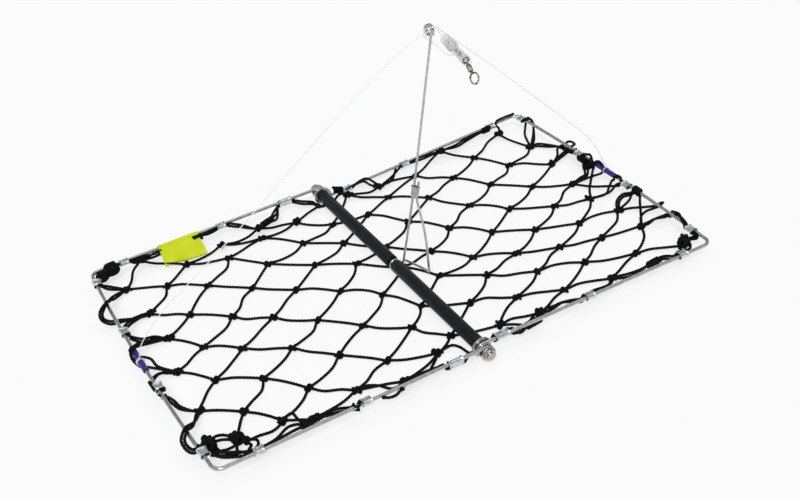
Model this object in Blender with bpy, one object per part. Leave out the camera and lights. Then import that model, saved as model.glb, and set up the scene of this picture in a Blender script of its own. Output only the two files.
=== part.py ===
"""A castable crab trap: two wire frames with net that fold up round a middle axle.

Lengths are in metres. The trap lies open on the ground at z = 0. X runs along its
length, from the left half to the right half, Y runs along the axle, and Z is up.
"""

import math
import random

import bmesh
import bpy
import numpy as np
from mathutils import Matrix, Vector

MM = 0.001
GAP = 0.3 * MM
UP = Vector((0, 0, 1))
ALONG_X = Vector((1, 0, 0))
ALONG_Y = Vector((0, 1, 0))

# Frames
ROD_DIAMETER = 3.2 * MM
HALF_LENGTH = 237.7 * MM
RIGHT_FLARE = 3.6 * MM
END_BOW = 3.8 * MM
CORNER_RADIUS = 8.0 * MM
EYE_ANGLE = math.radians(265)

# Axle
BOLT_DIAMETER = 6.0 * MM
BOLT_FIT = 0.35 * MM
STAND_WASHER_RADIUS = 9.0 * MM
SMALL_WASHER_RADIUS = 6.6 * MM
WASHER_THICKNESS = 1.6 * MM
NUT_WIDTH = 10.0 * MM
NUT_THICKNESS = 5.0 * MM
HEAD_THICKNESS = 4.0 * MM
BOLT_OVERHANG = 2.2 * MM
TUBE_RADIUS = 6.0 * MM
MIDDLE_GAP = 8.0 * MM

# Crimps, sleeves and tag
CRIMP_WALL = 0.6 * MM
CRIMP_LENGTH = 8.0 * MM
LONG_CRIMP_LENGTH = 15.0 * MM
LONG_CRIMPS_WITHIN = 32.0 * MM
UNDER_ROD_WITHIN = 60.0 * MM
SLEEVE_LENGTH = 31.0 * MM
SLEEVE_RADIUS = 3.0 * MM
SLEEVE_Y = 3.0 * MM
TAG_LENGTH = 40.0 * MM
TAG_REACH = 23.0 * MM
TAG_THICKNESS = 1.2 * MM
TAG_SHARE = -0.635
TAG_DROP = 7.5 * MM

# Bait arm
ARM_WIRE = 2.1 * MM
RING_RADIUS = 4.2 * MM
RING_TURNS = 1.9
RING_HEIGHT = 227.5 * MM
SHAFT_TOP_X = 49.5 * MM
SHAFT_TOP_Y = -16.4 * MM
CLIP_FOOT_X = 19.2 * MM
CLIP_FOOT_Y = -30.4 * MM
CLIP_HEIGHT = 77.0 * MM
CLIP_TOP_X = 22.2 * MM
CLIP_TOP_Y = -8.3 * MM
CLIP_BOW = 2.2 * MM
HINGE_RISE = 3.2 * MM
CLIP_SLEEVE_LENGTH = 10.0 * MM
CLIP_SLEEVE_WALL = 0.7 * MM
CLIP_SLEEVE_PINCH = 0.55 * MM
LEG_SPACING = 3.9 * MM
LEG_TIP_RISE = 4.0 * MM

# Lines and swivel
LINE_DIAMETER = 1.0 * MM
BEAD_RADIUS = 4.3 * MM
SWIVEL_WIRE = 1.2 * MM
SWIVEL_EYE_RADIUS = 2.5 * MM
SWIVEL_STEM_SHOWN = 1.6 * MM
BARREL_RADIUS = 2.4 * MM
BARREL_LENGTH = 8.4 * MM
LOWER_RING_HALF_WIDTH = 3.9 * MM
LOWER_RING_HALF_LENGTH = 5.6 * MM

# Net
CORD_DIAMETER = 2.4 * MM
CORD_FLAT = 2.2 * MM
KNOT_HALF_X = 4.6 * MM
KNOT_HALF_Y = 3.7 * MM
KNOT_HEIGHT = 5.0 * MM
LACING_DIAMETER = 2.4 * MM
MESHES = 12
COLUMNS_IN_HALF = 6.6
LAST_COLUMNS = (-7, 6)
ROWS_IN_HALF = 4.86
COLUMN_START = 9.0 * MM
LEFT_CROWDING = 0.55 * MM
COLUMN_LEAN = 2.3 * MM
LEAN_FADES_AT = 7.5
RIGHT_WAIST = 16.0 * MM
WAIST_COLUMNS = 2.5
RIGHT_ROW_LOSS = 1.0 * MM
ROW_SHIFT = 10.6 * MM
NET_HALF_WIDTH = 122.0 * MM
NET_BORDER = 30.8 * MM
EDGE_REACH = 1.28
EDGE_CROWDING = 0.3
EDGE_KNOTS_FROM = 0.72
NET_SLACK = 2.2 * MM
MIDDLE_CLEARANCE = 10.5 * MM
LACING_STEP = 13.0 * MM

# Sizes that follow from the ones above
LEFT_BAR_Y = NET_HALF_WIDTH + NET_BORDER
COLUMN_PITCH = HALF_LENGTH / COLUMNS_IN_HALF
ROW_PITCH = NET_HALF_WIDTH / ROWS_IN_HALF
ROD_RADIUS = ROD_DIAMETER / 2
BOLT_RADIUS = BOLT_DIAMETER / 2
AXLE_Z = STAND_WASHER_RADIUS
EYE_RADIUS = BOLT_RADIUS + BOLT_FIT + ROD_RADIUS
BAR_Z = AXLE_Z + EYE_RADIUS
LOW_BAR_Z = AXLE_Z - EYE_RADIUS
EYE_STEP = ROD_DIAMETER + WASHER_THICKNESS + 2 * GAP
RIGHT_BAR_Y = LEFT_BAR_Y - EYE_STEP
TUBE_END_Y = RIGHT_BAR_Y - ROD_RADIUS - WASHER_THICKNESS - 2 * GAP
OUTER_WASHER_Y = LEFT_BAR_Y + ROD_RADIUS + GAP
NUT_Y = OUTER_WASHER_Y + WASHER_THICKNESS + GAP
CORD_OFFSET = ROD_RADIUS + LACING_DIAMETER / 2 + GAP

AXLE = Vector((0, 0, AXLE_Z))


# Materials

def material(name, colour, roughness, metallic=0.0):
    made = bpy.data.materials.new(name)
    made.use_nodes = True
    shader = made.node_tree.nodes["Principled BSDF"]
    shader.inputs["Base Color"].default_value = (*colour, 1)
    shader.inputs["Roughness"].default_value = roughness
    shader.inputs["Metallic"].default_value = metallic
    return made


STAINLESS = material("stainless_wire", (0.55, 0.55, 0.54), 0.3, 1.0)
PLATED = material("plated_fastener", (0.5, 0.5, 0.48), 0.35, 1.0)
ALUMINIUM = material("crimp_aluminium", (0.66, 0.67, 0.68), 0.4, 1.0)
SLATE = material("slate_tube", (0.02, 0.035, 0.04), 0.45)
BLUE = material("blue_sleeve", (0.03, 0.03, 0.3), 0.45)
NET = material("black_net_cord", (0.008, 0.007, 0.01), 0.8)
LIME = material("lime_tag", (0.68, 0.75, 0.03), 0.5)
CLEAR = material("clear_plastic", (0.75, 0.77, 0.78), 0.15)
LINE = material("clear_line", (0.8, 0.82, 0.84), 0.2)
BLACK_NICKEL = material("black_nickel", (0.2, 0.19, 0.18), 0.25, 1.0)


# Bodies: one empty on each joint's axis

def pivot(name, location):
    empty = bpy.data.objects.new(name, None)
    empty.location = location
    empty.empty_display_size = 0.01
    bpy.context.scene.collection.objects.link(empty)
    return empty


def add(name, data, body, finish):
    """Puts a mesh or curve given in world places under its body's empty."""
    made = bpy.data.objects.new(name, data)
    bpy.context.scene.collection.objects.link(made)
    data.transform(Matrix.Translation(-body.location))
    data.materials.append(finish)
    made.parent = body
    return made


def add_mesh(name, bm, body, finish, smooth=35):
    bmesh.ops.recalc_face_normals(bm, faces=bm.faces)
    if bm.calc_volume(signed=True) < 0:
        bmesh.ops.reverse_faces(bm, faces=bm.faces)
    mesh = bpy.data.meshes.new(name)
    bm.to_mesh(mesh)
    bm.free()
    mesh.shade_smooth()
    mesh.set_sharp_from_angle(angle=math.radians(smooth))
    return add(name, mesh, body, finish)


# Paths

def smooth_path(points, step):
    """Points about a step apart along a smooth curve through the given points."""
    ends = [2 * points[0] - points[1], *points, 2 * points[-1] - points[-2]]
    found = []
    for before, start, end, after in zip(ends, ends[1:], ends[2:], ends[3:]):
        count = max(1, round((end - start).length / step))
        for i in range(count):
            t = i / count
            found.append(0.5 * (
                2 * start
                + (end - before) * t
                + (2 * before - 5 * start + 4 * end - after) * t ** 2
                + (3 * start - before - 3 * end + after) * t ** 3
            ))
    return [*found, points[-1]]


def rounded(points, radius, steps=5):
    """The polyline with an arc of this radius at each inner corner."""
    found = [points[0]]
    for before, corner, after in zip(points, points[1:], points[2:]):
        to_before = (before - corner).normalized()
        to_after = (after - corner).normalized()
        half = to_before.angle(to_after) / 2
        centre = corner + (to_before + to_after).normalized() * (radius / math.sin(half))
        start = corner + to_before * (radius / math.tan(half)) - centre
        end = corner + to_after * (radius / math.tan(half)) - centre
        turn = start.angle(end)
        for i in range(steps + 1):
            t = i / steps
            found.append(centre + (
                start * math.sin((1 - t) * turn) + end * math.sin(t * turn)
            ) / math.sin(turn))
    return [*found, points[-1]]


def wire(name, points, radius, body, finish, sides_step=2, radii=None):
    """A closed round wire along the points, of 4 + 2 * sides_step sides."""
    curve = bpy.data.curves.new(name, "CURVE")
    curve.dimensions = "3D"
    curve.bevel_depth = radius
    curve.bevel_resolution = sides_step
    curve.use_fill_caps = True
    spline = curve.splines.new("POLY")
    spline.points.add(len(points) - 1)
    for i, place in enumerate(points):
        spline.points[i].co = (*place, 1)
        spline.points[i].radius = radii[i] if radii else 1
    return add(name, curve, body, finish)


def self_gap(points, radius, apart):
    """The least space between parts of a wire that are this many points apart."""
    spots = np.array([tuple(p) for p in points])
    far = np.linalg.norm(spots[:, None] - spots[None], axis=2)
    step = np.abs(np.subtract.outer(np.arange(len(spots)), np.arange(len(spots))))
    return far[step >= apart].min() - 2 * radius


# Turned and extruded pieces

def facing(origin, axis, side):
    """The matrix that turns local Z to the axis and local X to the side."""
    axis = axis.normalized()
    side = (side - axis * side.dot(axis)).normalized()
    turn = Matrix((side, axis.cross(side), axis)).transposed()
    return Matrix.Translation(origin) @ turn.to_4x4()


def turned(profile, segments, place, closed=True):
    """Spins (radius, height) points about local Z; an open profile starts and ends on the axis."""
    bm = bmesh.new()
    ring = [bm.verts.new((radius, 0, height)) for radius, height in profile]
    edges = [bm.edges.new(pair) for pair in zip(ring, ring[1:])]
    if closed:
        edges.append(bm.edges.new((ring[-1], ring[0])))
    bmesh.ops.spin(
        bm, geom=ring + edges, cent=(0, 0, 0), axis=(0, 0, 1),
        angle=math.tau, steps=segments, use_merge=True, use_duplicate=False,
    )
    bmesh.ops.remove_doubles(bm, verts=bm.verts, dist=1e-7)
    bm.transform(place)
    return bm


def washer_like(inner, outer, start, thickness):
    """A flat ring's profile, from a start height."""
    return [(inner, start), (outer, start), (outer, start + thickness), (inner, start + thickness)]


def make_hexagonal(bm, place, inside, width):
    """Moves every vertex further out than the inside radius onto a hexagon."""
    to_local = place.inverted()
    for vert in bm.verts:
        local = to_local @ vert.co
        if math.hypot(local.x, local.y) > inside:
            angle = math.atan2(local.y, local.x)
            from_flat = (angle % math.radians(60)) - math.radians(30)
            radius = width / 2 / math.cos(from_flat)
            local.x, local.y = radius * math.cos(angle), radius * math.sin(angle)
            vert.co = place @ local


def extruded_ring(outer, inner, length, place, closed=True):
    """A sleeve whose outer and inner outlines have as many points, centred on local Z.

    With closed off, the sleeve is open along one side, between the outlines' ends.
    """
    bm = bmesh.new()
    rings = [[bm.verts.new((x, y, -length / 2)) for x, y in line] for line in (outer, inner)]
    count = len(outer)
    flat = [
        bm.faces.new((rings[0][i], rings[0][(i + 1) % count], rings[1][(i + 1) % count], rings[1][i]))
        for i in range(count if closed else count - 1)
    ]
    raised = bmesh.ops.extrude_face_region(bm, geom=flat, use_keep_orig=True)
    moved = [item for item in raised["geom"] if isinstance(item, bmesh.types.BMVert)]
    bmesh.ops.translate(bm, verts=moved, vec=(0, 0, length))
    bm.transform(place)
    return bm


def round_pair(rod_reach, cord_reach, distance, steps):
    """The outline round two circles whose centres lie a distance apart along local X."""
    line = []
    for centre, radius, first in ((distance, cord_reach, -90), (0, rod_reach, 90)):
        for i in range(steps + 1):
            angle = math.radians(first + 180 * i / steps)
            line.append((centre + radius * math.cos(angle), radius * math.sin(angle)))
    return line


# Frame rods

def bar_point(side, x, far):
    """A point on a side bar's centre line: side is -1 for left, far is 1 or -1."""
    share = abs(x) / HALF_LENGTH
    if side < 0:
        return Vector((x, far * LEFT_BAR_Y, BAR_Z))
    start_z = LOW_BAR_Z if far > 0 else BAR_Z
    return Vector((x, far * (RIGHT_BAR_Y + RIGHT_FLARE * share), start_z + (BAR_Z - start_z) * share))


def end_point(side, y):
    """A point on a bowed end bar's centre line."""
    half = LEFT_BAR_Y if side < 0 else RIGHT_BAR_Y + RIGHT_FLARE
    return Vector((side * (HALF_LENGTH + END_BOW * (1 - (y / half) ** 2)), y, BAR_Z))


def eye_points(side, far, steps=10):
    """An eye round the axle, from its free end to where the bar leaves it."""
    y = bar_point(side, 0, far).y
    over = -1 if side > 0 and far > 0 else 1
    found = []
    for i in range(steps):
        angle = EYE_ANGLE * (1 - i / steps)
        found.append(AXLE + Vector((
            -side * EYE_RADIUS * math.sin(angle),
            y,
            over * EYE_RADIUS * math.cos(angle),
        )))
    return found


def frame_path(side):
    """The rod from the near eye round both corners to the far eye."""
    corners = [bar_point(side, side * HALF_LENGTH, -1), bar_point(side, side * HALF_LENGTH, 1)]
    bowed = [end_point(side, corners[0].y * share) for share in (0.75, 0.4, 0, -0.4, -0.75)]
    near = rounded([bar_point(side, 0, -1), corners[0], bowed[0]], CORNER_RADIUS)
    far = rounded([bowed[-1], corners[1], bar_point(side, 0, 1)], CORNER_RADIUS)
    return [*eye_points(side, -1), *near, *bowed[1:-1], *far, *reversed(eye_points(side, 1))]


def make_frame(name, side, body):
    wire(name, frame_path(side), ROD_RADIUS, body, STAINLESS)


# Axle, washers and tubes

def make_axle(body):
    place = facing(Vector((0, -NUT_Y, AXLE_Z)), -ALONG_Y, -UP)
    tip = -2 * NUT_Y - NUT_THICKNESS - BOLT_OVERHANG
    chamfer = 0.6 * MM
    bolt = turned([
        (0, tip), (BOLT_RADIUS - chamfer, tip), (BOLT_RADIUS, tip + chamfer), (BOLT_RADIUS, 0),
        (NUT_WIDTH / 2, 0), (NUT_WIDTH / 2, HEAD_THICKNESS), (0, HEAD_THICKNESS),
    ], 12, place, closed=False)
    make_hexagonal(bolt, place, BOLT_RADIUS + GAP, NUT_WIDTH)
    add_mesh("axle_bolt", bolt, body, PLATED)

    place = facing(Vector((0, NUT_Y, AXLE_Z)), ALONG_Y, -UP)
    nut = turned(washer_like(BOLT_RADIUS + GAP, NUT_WIDTH / 2, 0, NUT_THICKNESS), 12, place)
    make_hexagonal(nut, place, BOLT_RADIUS + 2 * GAP, NUT_WIDTH)
    add_mesh("axle_nut", nut, body, PLATED)

    for end, far in (("near", -1), ("far", 1)):
        place = facing(AXLE, far * ALONG_Y, -UP)
        for spot, start, radius in (
            ("inner", TUBE_END_Y + GAP, STAND_WASHER_RADIUS),
            ("middle", RIGHT_BAR_Y + ROD_RADIUS + GAP, SMALL_WASHER_RADIUS),
            ("outer", OUTER_WASHER_Y, SMALL_WASHER_RADIUS),
        ):
            profile = washer_like(BOLT_RADIUS + GAP, radius, start, WASHER_THICKNESS)
            add_mesh(f"washer_{end}_{spot}", turned(profile, 16, place), body, PLATED)
        length = TUBE_END_Y - MIDDLE_GAP / 2
        profile = washer_like(BOLT_RADIUS + BOLT_FIT, TUBE_RADIUS, MIDDLE_GAP / 2, length)
        add_mesh(f"tube_{end}", turned(profile, 16, place), body, SLATE)


# Bait arm: an axle wrap, the clip's fixed side, the shaft and the guide ring

WRAP_RADIUS = BOLT_RADIUS + GAP + ARM_WIRE / 2
WIRE_PITCH = ARM_WIRE + GAP
WRAP_START = math.radians(60)
WRAP_END = math.radians(370)
WRAP_NEAR_Y = -MIDDLE_GAP / 2 + 1.75 * ARM_WIRE / 2
CLIP_FOOT = Vector((CLIP_FOOT_X, CLIP_FOOT_Y, AXLE_Z + 2 * GAP))
SLEEVE_FOOT = Vector((CLIP_TOP_X, CLIP_TOP_Y, CLIP_HEIGHT))
SHAFT_TOP = Vector((SHAFT_TOP_X, SHAFT_TOP_Y, RING_HEIGHT))
SHAFT_WAY = (SHAFT_TOP - SLEEVE_FOOT).normalized()
RING_AXIS = Vector((0.98, -0.12, -0.17))
RING_AXIS = (RING_AXIS - SHAFT_WAY * RING_AXIS.dot(SHAFT_WAY)).normalized()
RING_SIDE = RING_AXIS.cross(SHAFT_WAY)
RING_CENTRE = SHAFT_TOP - RING_SIDE * RING_RADIUS
RING_MIDDLE = RING_CENTRE + RING_AXIS * WIRE_PITCH * RING_TURNS / 2


def between(start, end, shares):
    """A point between two others, with a share of the way for each of X, Y and Z."""
    return Vector([a + (b - a) * share for a, b, share in zip(start, end, shares)])


def arm_path():
    """The wire from the guide ring's free end down to the clip's foot, its ring and its wrap."""
    wrap = []
    steps = 11
    for i in range(steps + 1):
        angle = WRAP_START + (WRAP_END - WRAP_START) * i / steps
        wrap.append(AXLE + Vector((
            WRAP_RADIUS * math.cos(angle),
            WRAP_NEAR_Y + WIRE_PITCH * (angle - WRAP_START) / math.tau,
            -WRAP_RADIUS * math.sin(angle),
        )))
    ring = []
    steps = round(14 * RING_TURNS)
    for i in range(1, steps + 1):
        turn = RING_TURNS * i / steps
        angle = math.tau * turn
        ring.append(
            RING_CENTRE
            + (RING_SIDE * math.cos(angle) + SHAFT_WAY * math.sin(angle)) * RING_RADIUS
            + RING_AXIS * WIRE_PITCH * turn
        )
    sleeve_top = SLEEVE_FOOT + SHAFT_WAY * CLIP_SLEEVE_LENGTH
    shaft = [SHAFT_TOP, SHAFT_TOP.lerp(sleeve_top, 0.5), sleeve_top, SLEEVE_FOOT]
    tube_side = AXLE + Vector((TUBE_RADIUS + ARM_WIRE, WRAP_NEAR_Y - ARM_WIRE / 2, GAP))
    below = AXLE + Vector((TUBE_RADIUS, WRAP_NEAR_Y, -WRAP_RADIUS))
    down = smooth_path([
        SLEEVE_FOOT, between(SLEEVE_FOOT, tube_side, (0.54, 0.32, 0.5)),
        between(SLEEVE_FOOT, tube_side, (0.88, 0.8, 0.86)), tube_side, below, wrap[0],
    ], 6 * MM)
    away = smooth_path([
        wrap[-1], between(wrap[-1], CLIP_FOOT, (0.36, 0.04, 0.75)),
        between(wrap[-1], CLIP_FOOT, (0.52, 0.2, 0.9)), between(wrap[-1], CLIP_FOOT, (0.88, 0.8, 1)),
        CLIP_FOOT, CLIP_FOOT + UP * HINGE_RISE,
    ], 4 * MM)
    return [*reversed(ring), *shaft, *down[1:], *wrap[1:], *away[1:]], ring, wrap


def make_arm(body, clip):
    path, ring, wrap = arm_path()
    wire("arm_wire", path, ARM_WIRE / 2, body, STAINLESS)
    print(f"guide ring gap {self_gap(ring, ARM_WIRE / 2, 8) / MM:.2f} mm")
    print(f"axle wrap gap {self_gap(wrap, ARM_WIRE / 2, 8) / MM:.2f} mm")
    make_clip_sleeve(body)
    make_clip(clip)


def clip_side():
    """The level way from the axle to the clip's foot, square to the shaft."""
    way = CLIP_FOOT - AXLE
    way = Vector((way.x, way.y, 0)).normalized()
    return (way - SHAFT_WAY * way.dot(SHAFT_WAY)).normalized()


def clip_pivot():
    """The middle of the round foot of the clip's loose leg."""
    return CLIP_FOOT + UP * (HINGE_RISE + GAP + ARM_WIRE / 2)


def make_clip_sleeve(body):
    """A pinched double sleeve: closed round the shaft, open where the loose leg snaps in."""
    outlines = []
    for reach in (ARM_WIRE / 2 + GAP + CLIP_SLEEVE_WALL, ARM_WIRE / 2 + GAP):
        pinched = reach - CLIP_SLEEVE_PINCH
        side = [(LEG_SPACING + 0.6 * MM, reach), (LEG_SPACING, reach), (LEG_SPACING / 2, pinched)]
        round_shaft = [
            (reach * math.cos(angle), reach * math.sin(angle))
            for angle in (math.radians(60 + 30 * i) for i in range(9))
        ]
        outlines.append([*side, *round_shaft, *[(x, -y) for x, y in reversed(side)]])
    middle = SLEEVE_FOOT + SHAFT_WAY * CLIP_SLEEVE_LENGTH / 2
    place = facing(middle, SHAFT_WAY, clip_side())
    sleeve = extruded_ring(*outlines, CLIP_SLEEVE_LENGTH, place, closed=False)
    add_mesh("arm_sleeve", sleeve, body, STAINLESS)


def make_clip(body):
    """The loose leg, from its round foot up into the sleeve, with its tip above it."""
    radius = ARM_WIRE / 2
    foot = clip_pivot()
    side = clip_side()
    beside = SLEEVE_FOOT + side * LEG_SPACING - SHAFT_WAY * 2 * MM
    tip = beside + SHAFT_WAY * (CLIP_SLEEVE_LENGTH + 2 * MM + LEG_TIP_RISE)
    path = smooth_path([foot, foot.lerp(beside, 0.5) + side * CLIP_BOW, beside], 9 * MM)
    path = [*path[:-1], *rounded([path[-2], beside, tip], 6 * MM)[1:]]
    start = (path[1] - path[0]).normalized()
    way = (path[-1] - path[-2]).normalized()
    ends = [(0.98, 0.2), (0.8, 0.6), (0.45, 0.9)]
    points = [foot - start * radius * along for along, _ in ends] + path
    points += [tip + way * radius * along for along, _ in reversed(ends)]
    radii = [share for _, share in ends] + [1] * len(path) + [share for _, share in reversed(ends)]
    wire("clip_leg", points, radius, body, STAINLESS, radii=radii)


# Lines, bead, crimp and swivel

CHAIN_START = Vector((64.0, -12.0, 215.5)) * MM
CHAIN_WAY = (Vector((82.5, -12.0, 190.0)) * MM - CHAIN_START).normalized()
SWIVEL_WAY = Vector((0.36, 0, -0.933)).normalized()
BEAD_AT = 11.4 * MM
BEAD_SLEEVE_END = 17.0 * MM
CRIMP_START = 17.6 * MM
SWIVEL_SLEEVE_START = 19.2 * MM
CRIMP_END = 24.6 * MM
UPPER_EYE_AT = 32.4 * MM
LINE_RADIUS = LINE_DIAMETER / 2
CRIMP_RADIUS = 1.8 * MM


def chain_point(along, out=0.0, turn=0.0):
    side = ALONG_Y.cross(CHAIN_WAY)
    return CHAIN_START + CHAIN_WAY * along + (side * math.cos(turn) + ALONG_Y * math.sin(turn)) * out


def line_wrap(side, turns):
    """A few turns of line round the blue sleeve, ending on top of it."""
    centre = end_point(side, SLEEVE_Y)
    radius = SLEEVE_RADIUS + GAP + LINE_RADIUS
    steps = round(10 * turns)
    found = []
    for i in range(steps + 1):
        turn = turns * (i / steps - 1)
        angle = math.tau * turn
        found.append(centre + Vector((
            -side * radius * math.sin(angle),
            (LINE_DIAMETER + 0.5 * MM) * turn,
            radius * math.cos(angle),
        )))
    return found


def make_lines(body):
    left_way = [
        Vector(place) * MM for place in (
            (-235.5, 5.7, 28.8), (-214.0, 4.3, 51.0), (-186.0, 2.6, 70.0), (-132.5, -0.7, 106.5),
            (-74.6, -4.3, 149.5), (-21.0, -7.6, 187.5), (20.0, -10.6, 214.0),
        )
    ]
    ring_low = RING_MIDDLE - SHAFT_WAY * 0.9 * MM
    inside = [ring_low - RING_AXIS * 4 * MM + RING_SIDE * MM, ring_low + RING_AXIS * 4.5 * MM]
    left = smooth_path([
        line_wrap(-1, 1.25)[-1], *left_way, *inside,
        Vector((57.5, -12.4, 224.6)) * MM, chain_point(-1 * MM), chain_point(CRIMP_START - GAP),
    ], 11 * MM)
    wire("line_left", line_wrap(-1, 1.25)[:-1] + left, LINE_RADIUS, body, LINE)

    right_way = [
        Vector(place) * MM for place in (
            (239.0, 1.8, 24.0), (225.0, 0.8, 51.0), (206.5, -0.6, 74.0), (151.3, -4.6, 132.0),
            (99.4, -3.0, 186.0), (72.0, -3.0, 213.0), (61.0, -8.0, 223.5),
        )
    ]
    ring_high = RING_MIDDLE + SHAFT_WAY * 1.2 * MM - RING_SIDE * 0.9 * MM
    between_sleeves = (BEAD_SLEEVE_END + SWIVEL_SLEEVE_START) / 2
    loop = [
        ring_high + RING_AXIS * 5 * MM, ring_high - RING_AXIS * 5 * MM,
        RING_CENTRE - RING_AXIS * 5.5 * MM - SHAFT_WAY * 3.5 * MM - RING_SIDE * 3.0 * MM,
        RING_CENTRE - RING_AXIS * 1.0 * MM - SHAFT_WAY * 9.0 * MM - RING_SIDE * 2.0 * MM,
        chain_point(-3 * MM, 9.0 * MM), chain_point(4 * MM, 8.4 * MM), chain_point(12 * MM, 8.0 * MM),
        chain_point(between_sleeves - 0.9 * MM, 6.2 * MM), chain_point(between_sleeves, 4.2 * MM),
        chain_point(SWIVEL_SLEEVE_START, CRIMP_RADIUS + LINE_RADIUS + GAP),
    ]
    right = smooth_path([line_wrap(1, 1.25)[-1], *right_way, *loop], 11 * MM)
    wire("line_right", line_wrap(1, 1.25)[:-1] + right, LINE_RADIUS, body, LINE)


def make_chain(body):
    place = facing(CHAIN_START, CHAIN_WAY, ALONG_Y)
    wall = 0.6 * MM
    outer = [(0, 4.2), (0.33, 4.7), (0.55, 5.2), (0.79, 5.2), (0.94, 4.0), (1, 3.2)]
    cap = [(out * MM, BEAD_SLEEVE_END * along) for along, out in outer]
    inner = [(out - wall, along) for out, along in reversed(cap)]
    add_mesh("bead_sleeve", turned(cap + inner, 14, place), body, CLEAR)

    bore = LINE_RADIUS + GAP
    first = math.asin(bore / BEAD_RADIUS)
    bead = [
        (BEAD_RADIUS * math.sin(angle), BEAD_AT - BEAD_RADIUS * math.cos(angle))
        for angle in (first + (math.pi - 2 * first) * i / 7 for i in range(8))
    ]
    add_mesh("clear_bead", turned(bead, 14, place), body, CLEAR)

    ribs = 4
    crimp = [(0, CRIMP_START)]
    for i in range(2 * ribs + 1):
        out = CRIMP_RADIUS if i % 2 else CRIMP_RADIUS - 0.35 * MM
        crimp.append((out, CRIMP_START + (CRIMP_END - CRIMP_START) * i / (2 * ribs)))
    crimp.append((0, CRIMP_END))
    add_mesh("line_crimp", turned(crimp, 12, place, closed=False), body, ALUMINIUM)

    wall = 0.4 * MM
    length = UPPER_EYE_AT + SWIVEL_EYE_RADIUS + SWIVEL_WIRE - SWIVEL_SLEEVE_START
    outer = [(0, 3.9), (0.35, 3.9), (0.6, 4.3), (0.85, 4.3), (0.95, 3.9), (1, 3.3)]
    cap = [(out * MM, SWIVEL_SLEEVE_START + length * along) for along, out in outer]
    inner = [(out - wall, along) for out, along in reversed(cap)]
    add_mesh("swivel_sleeve", turned(cap + inner, 14, place), body, CLEAR)

    eye = chain_point(UPPER_EYE_AT)
    span = 1.4 * MM
    loop_radius = SWIVEL_WIRE / 2 + GAP + LINE_RADIUS
    hang = UPPER_EYE_AT - SWIVEL_EYE_RADIUS
    loop = [chain_point(CRIMP_END + GAP, span, math.pi / 2), chain_point(hang - 1 * MM, span, math.pi / 2)]
    for i in range(1, 6):
        angle = math.pi * i / 6
        loop.append(chain_point(hang + loop_radius * math.sin(angle), span * math.cos(angle), math.pi / 2))
    loop += [chain_point(hang - 1 * MM, -span, math.pi / 2), chain_point(CRIMP_END + GAP, -span, math.pi / 2)]
    wire("swivel_loop", loop, LINE_RADIUS, body, LINE)
    return eye


# Swivel: two eyes whose stems end in heads inside the barrel

STEM_RADIUS = 0.75 * MM
HEAD_RADIUS = 1.5 * MM
HEAD_LENGTH = 1.2 * MM
LIP = 0.9 * MM
UPPER_EYE = CHAIN_START + CHAIN_WAY * UPPER_EYE_AT
BARREL_START = SWIVEL_EYE_RADIUS + SWIVEL_WIRE / 2 + SWIVEL_STEM_SHOWN
BARREL_END = BARREL_START + BARREL_LENGTH
LOWER_RING_AT = BARREL_END + 1.2 * MM + SWIVEL_WIRE / 2 + LOWER_RING_HALF_LENGTH


def swivel_eye_mesh(centre_at, half_width, half_length, way, head_at):
    """An oval ring in the XZ plane joined by a stem to the head inside the barrel."""
    steps = 20
    cross = ALONG_Y.cross(SWIVEL_WAY)
    radius = SWIVEL_WIRE / 2
    ring = bmesh.new()
    hoops = []
    for i in range(steps):
        angle = math.tau * i / steps
        out = (cross * half_width * math.sin(angle) - way * half_length * math.cos(angle))
        centre = UPPER_EYE + SWIVEL_WAY * centre_at + out
        normal = (cross * math.sin(angle) / half_width - way * math.cos(angle) / half_length).normalized()
        made = bmesh.ops.create_circle(ring, segments=6, radius=radius)
        turn = facing(centre, normal.cross(ALONG_Y), normal)
        bmesh.ops.transform(ring, matrix=turn, verts=made["verts"])
        hoops.append(list({edge for vert in made["verts"] for edge in vert.link_edges}))
    for first, second in zip(hoops, hoops[1:] + hoops[:1]):
        bmesh.ops.bridge_loops(ring, edges=first + second)
    return ring


def join_bodies(name, parts, body, finish):
    """One closed body from overlapping meshes, by Boolean unions."""
    base = add_mesh(name, parts[0], body, finish)
    for i, part in enumerate(parts[1:]):
        helper = add_mesh(f"{name}_part{i}", part, body, finish)
        helper.hide_render = True
        helper.display_type = "WIRE"
        union = base.modifiers.new(f"join{i}", "BOOLEAN")
        union.operation = "UNION"
        union.solver = "EXACT"
        union.object = helper
    return base


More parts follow.
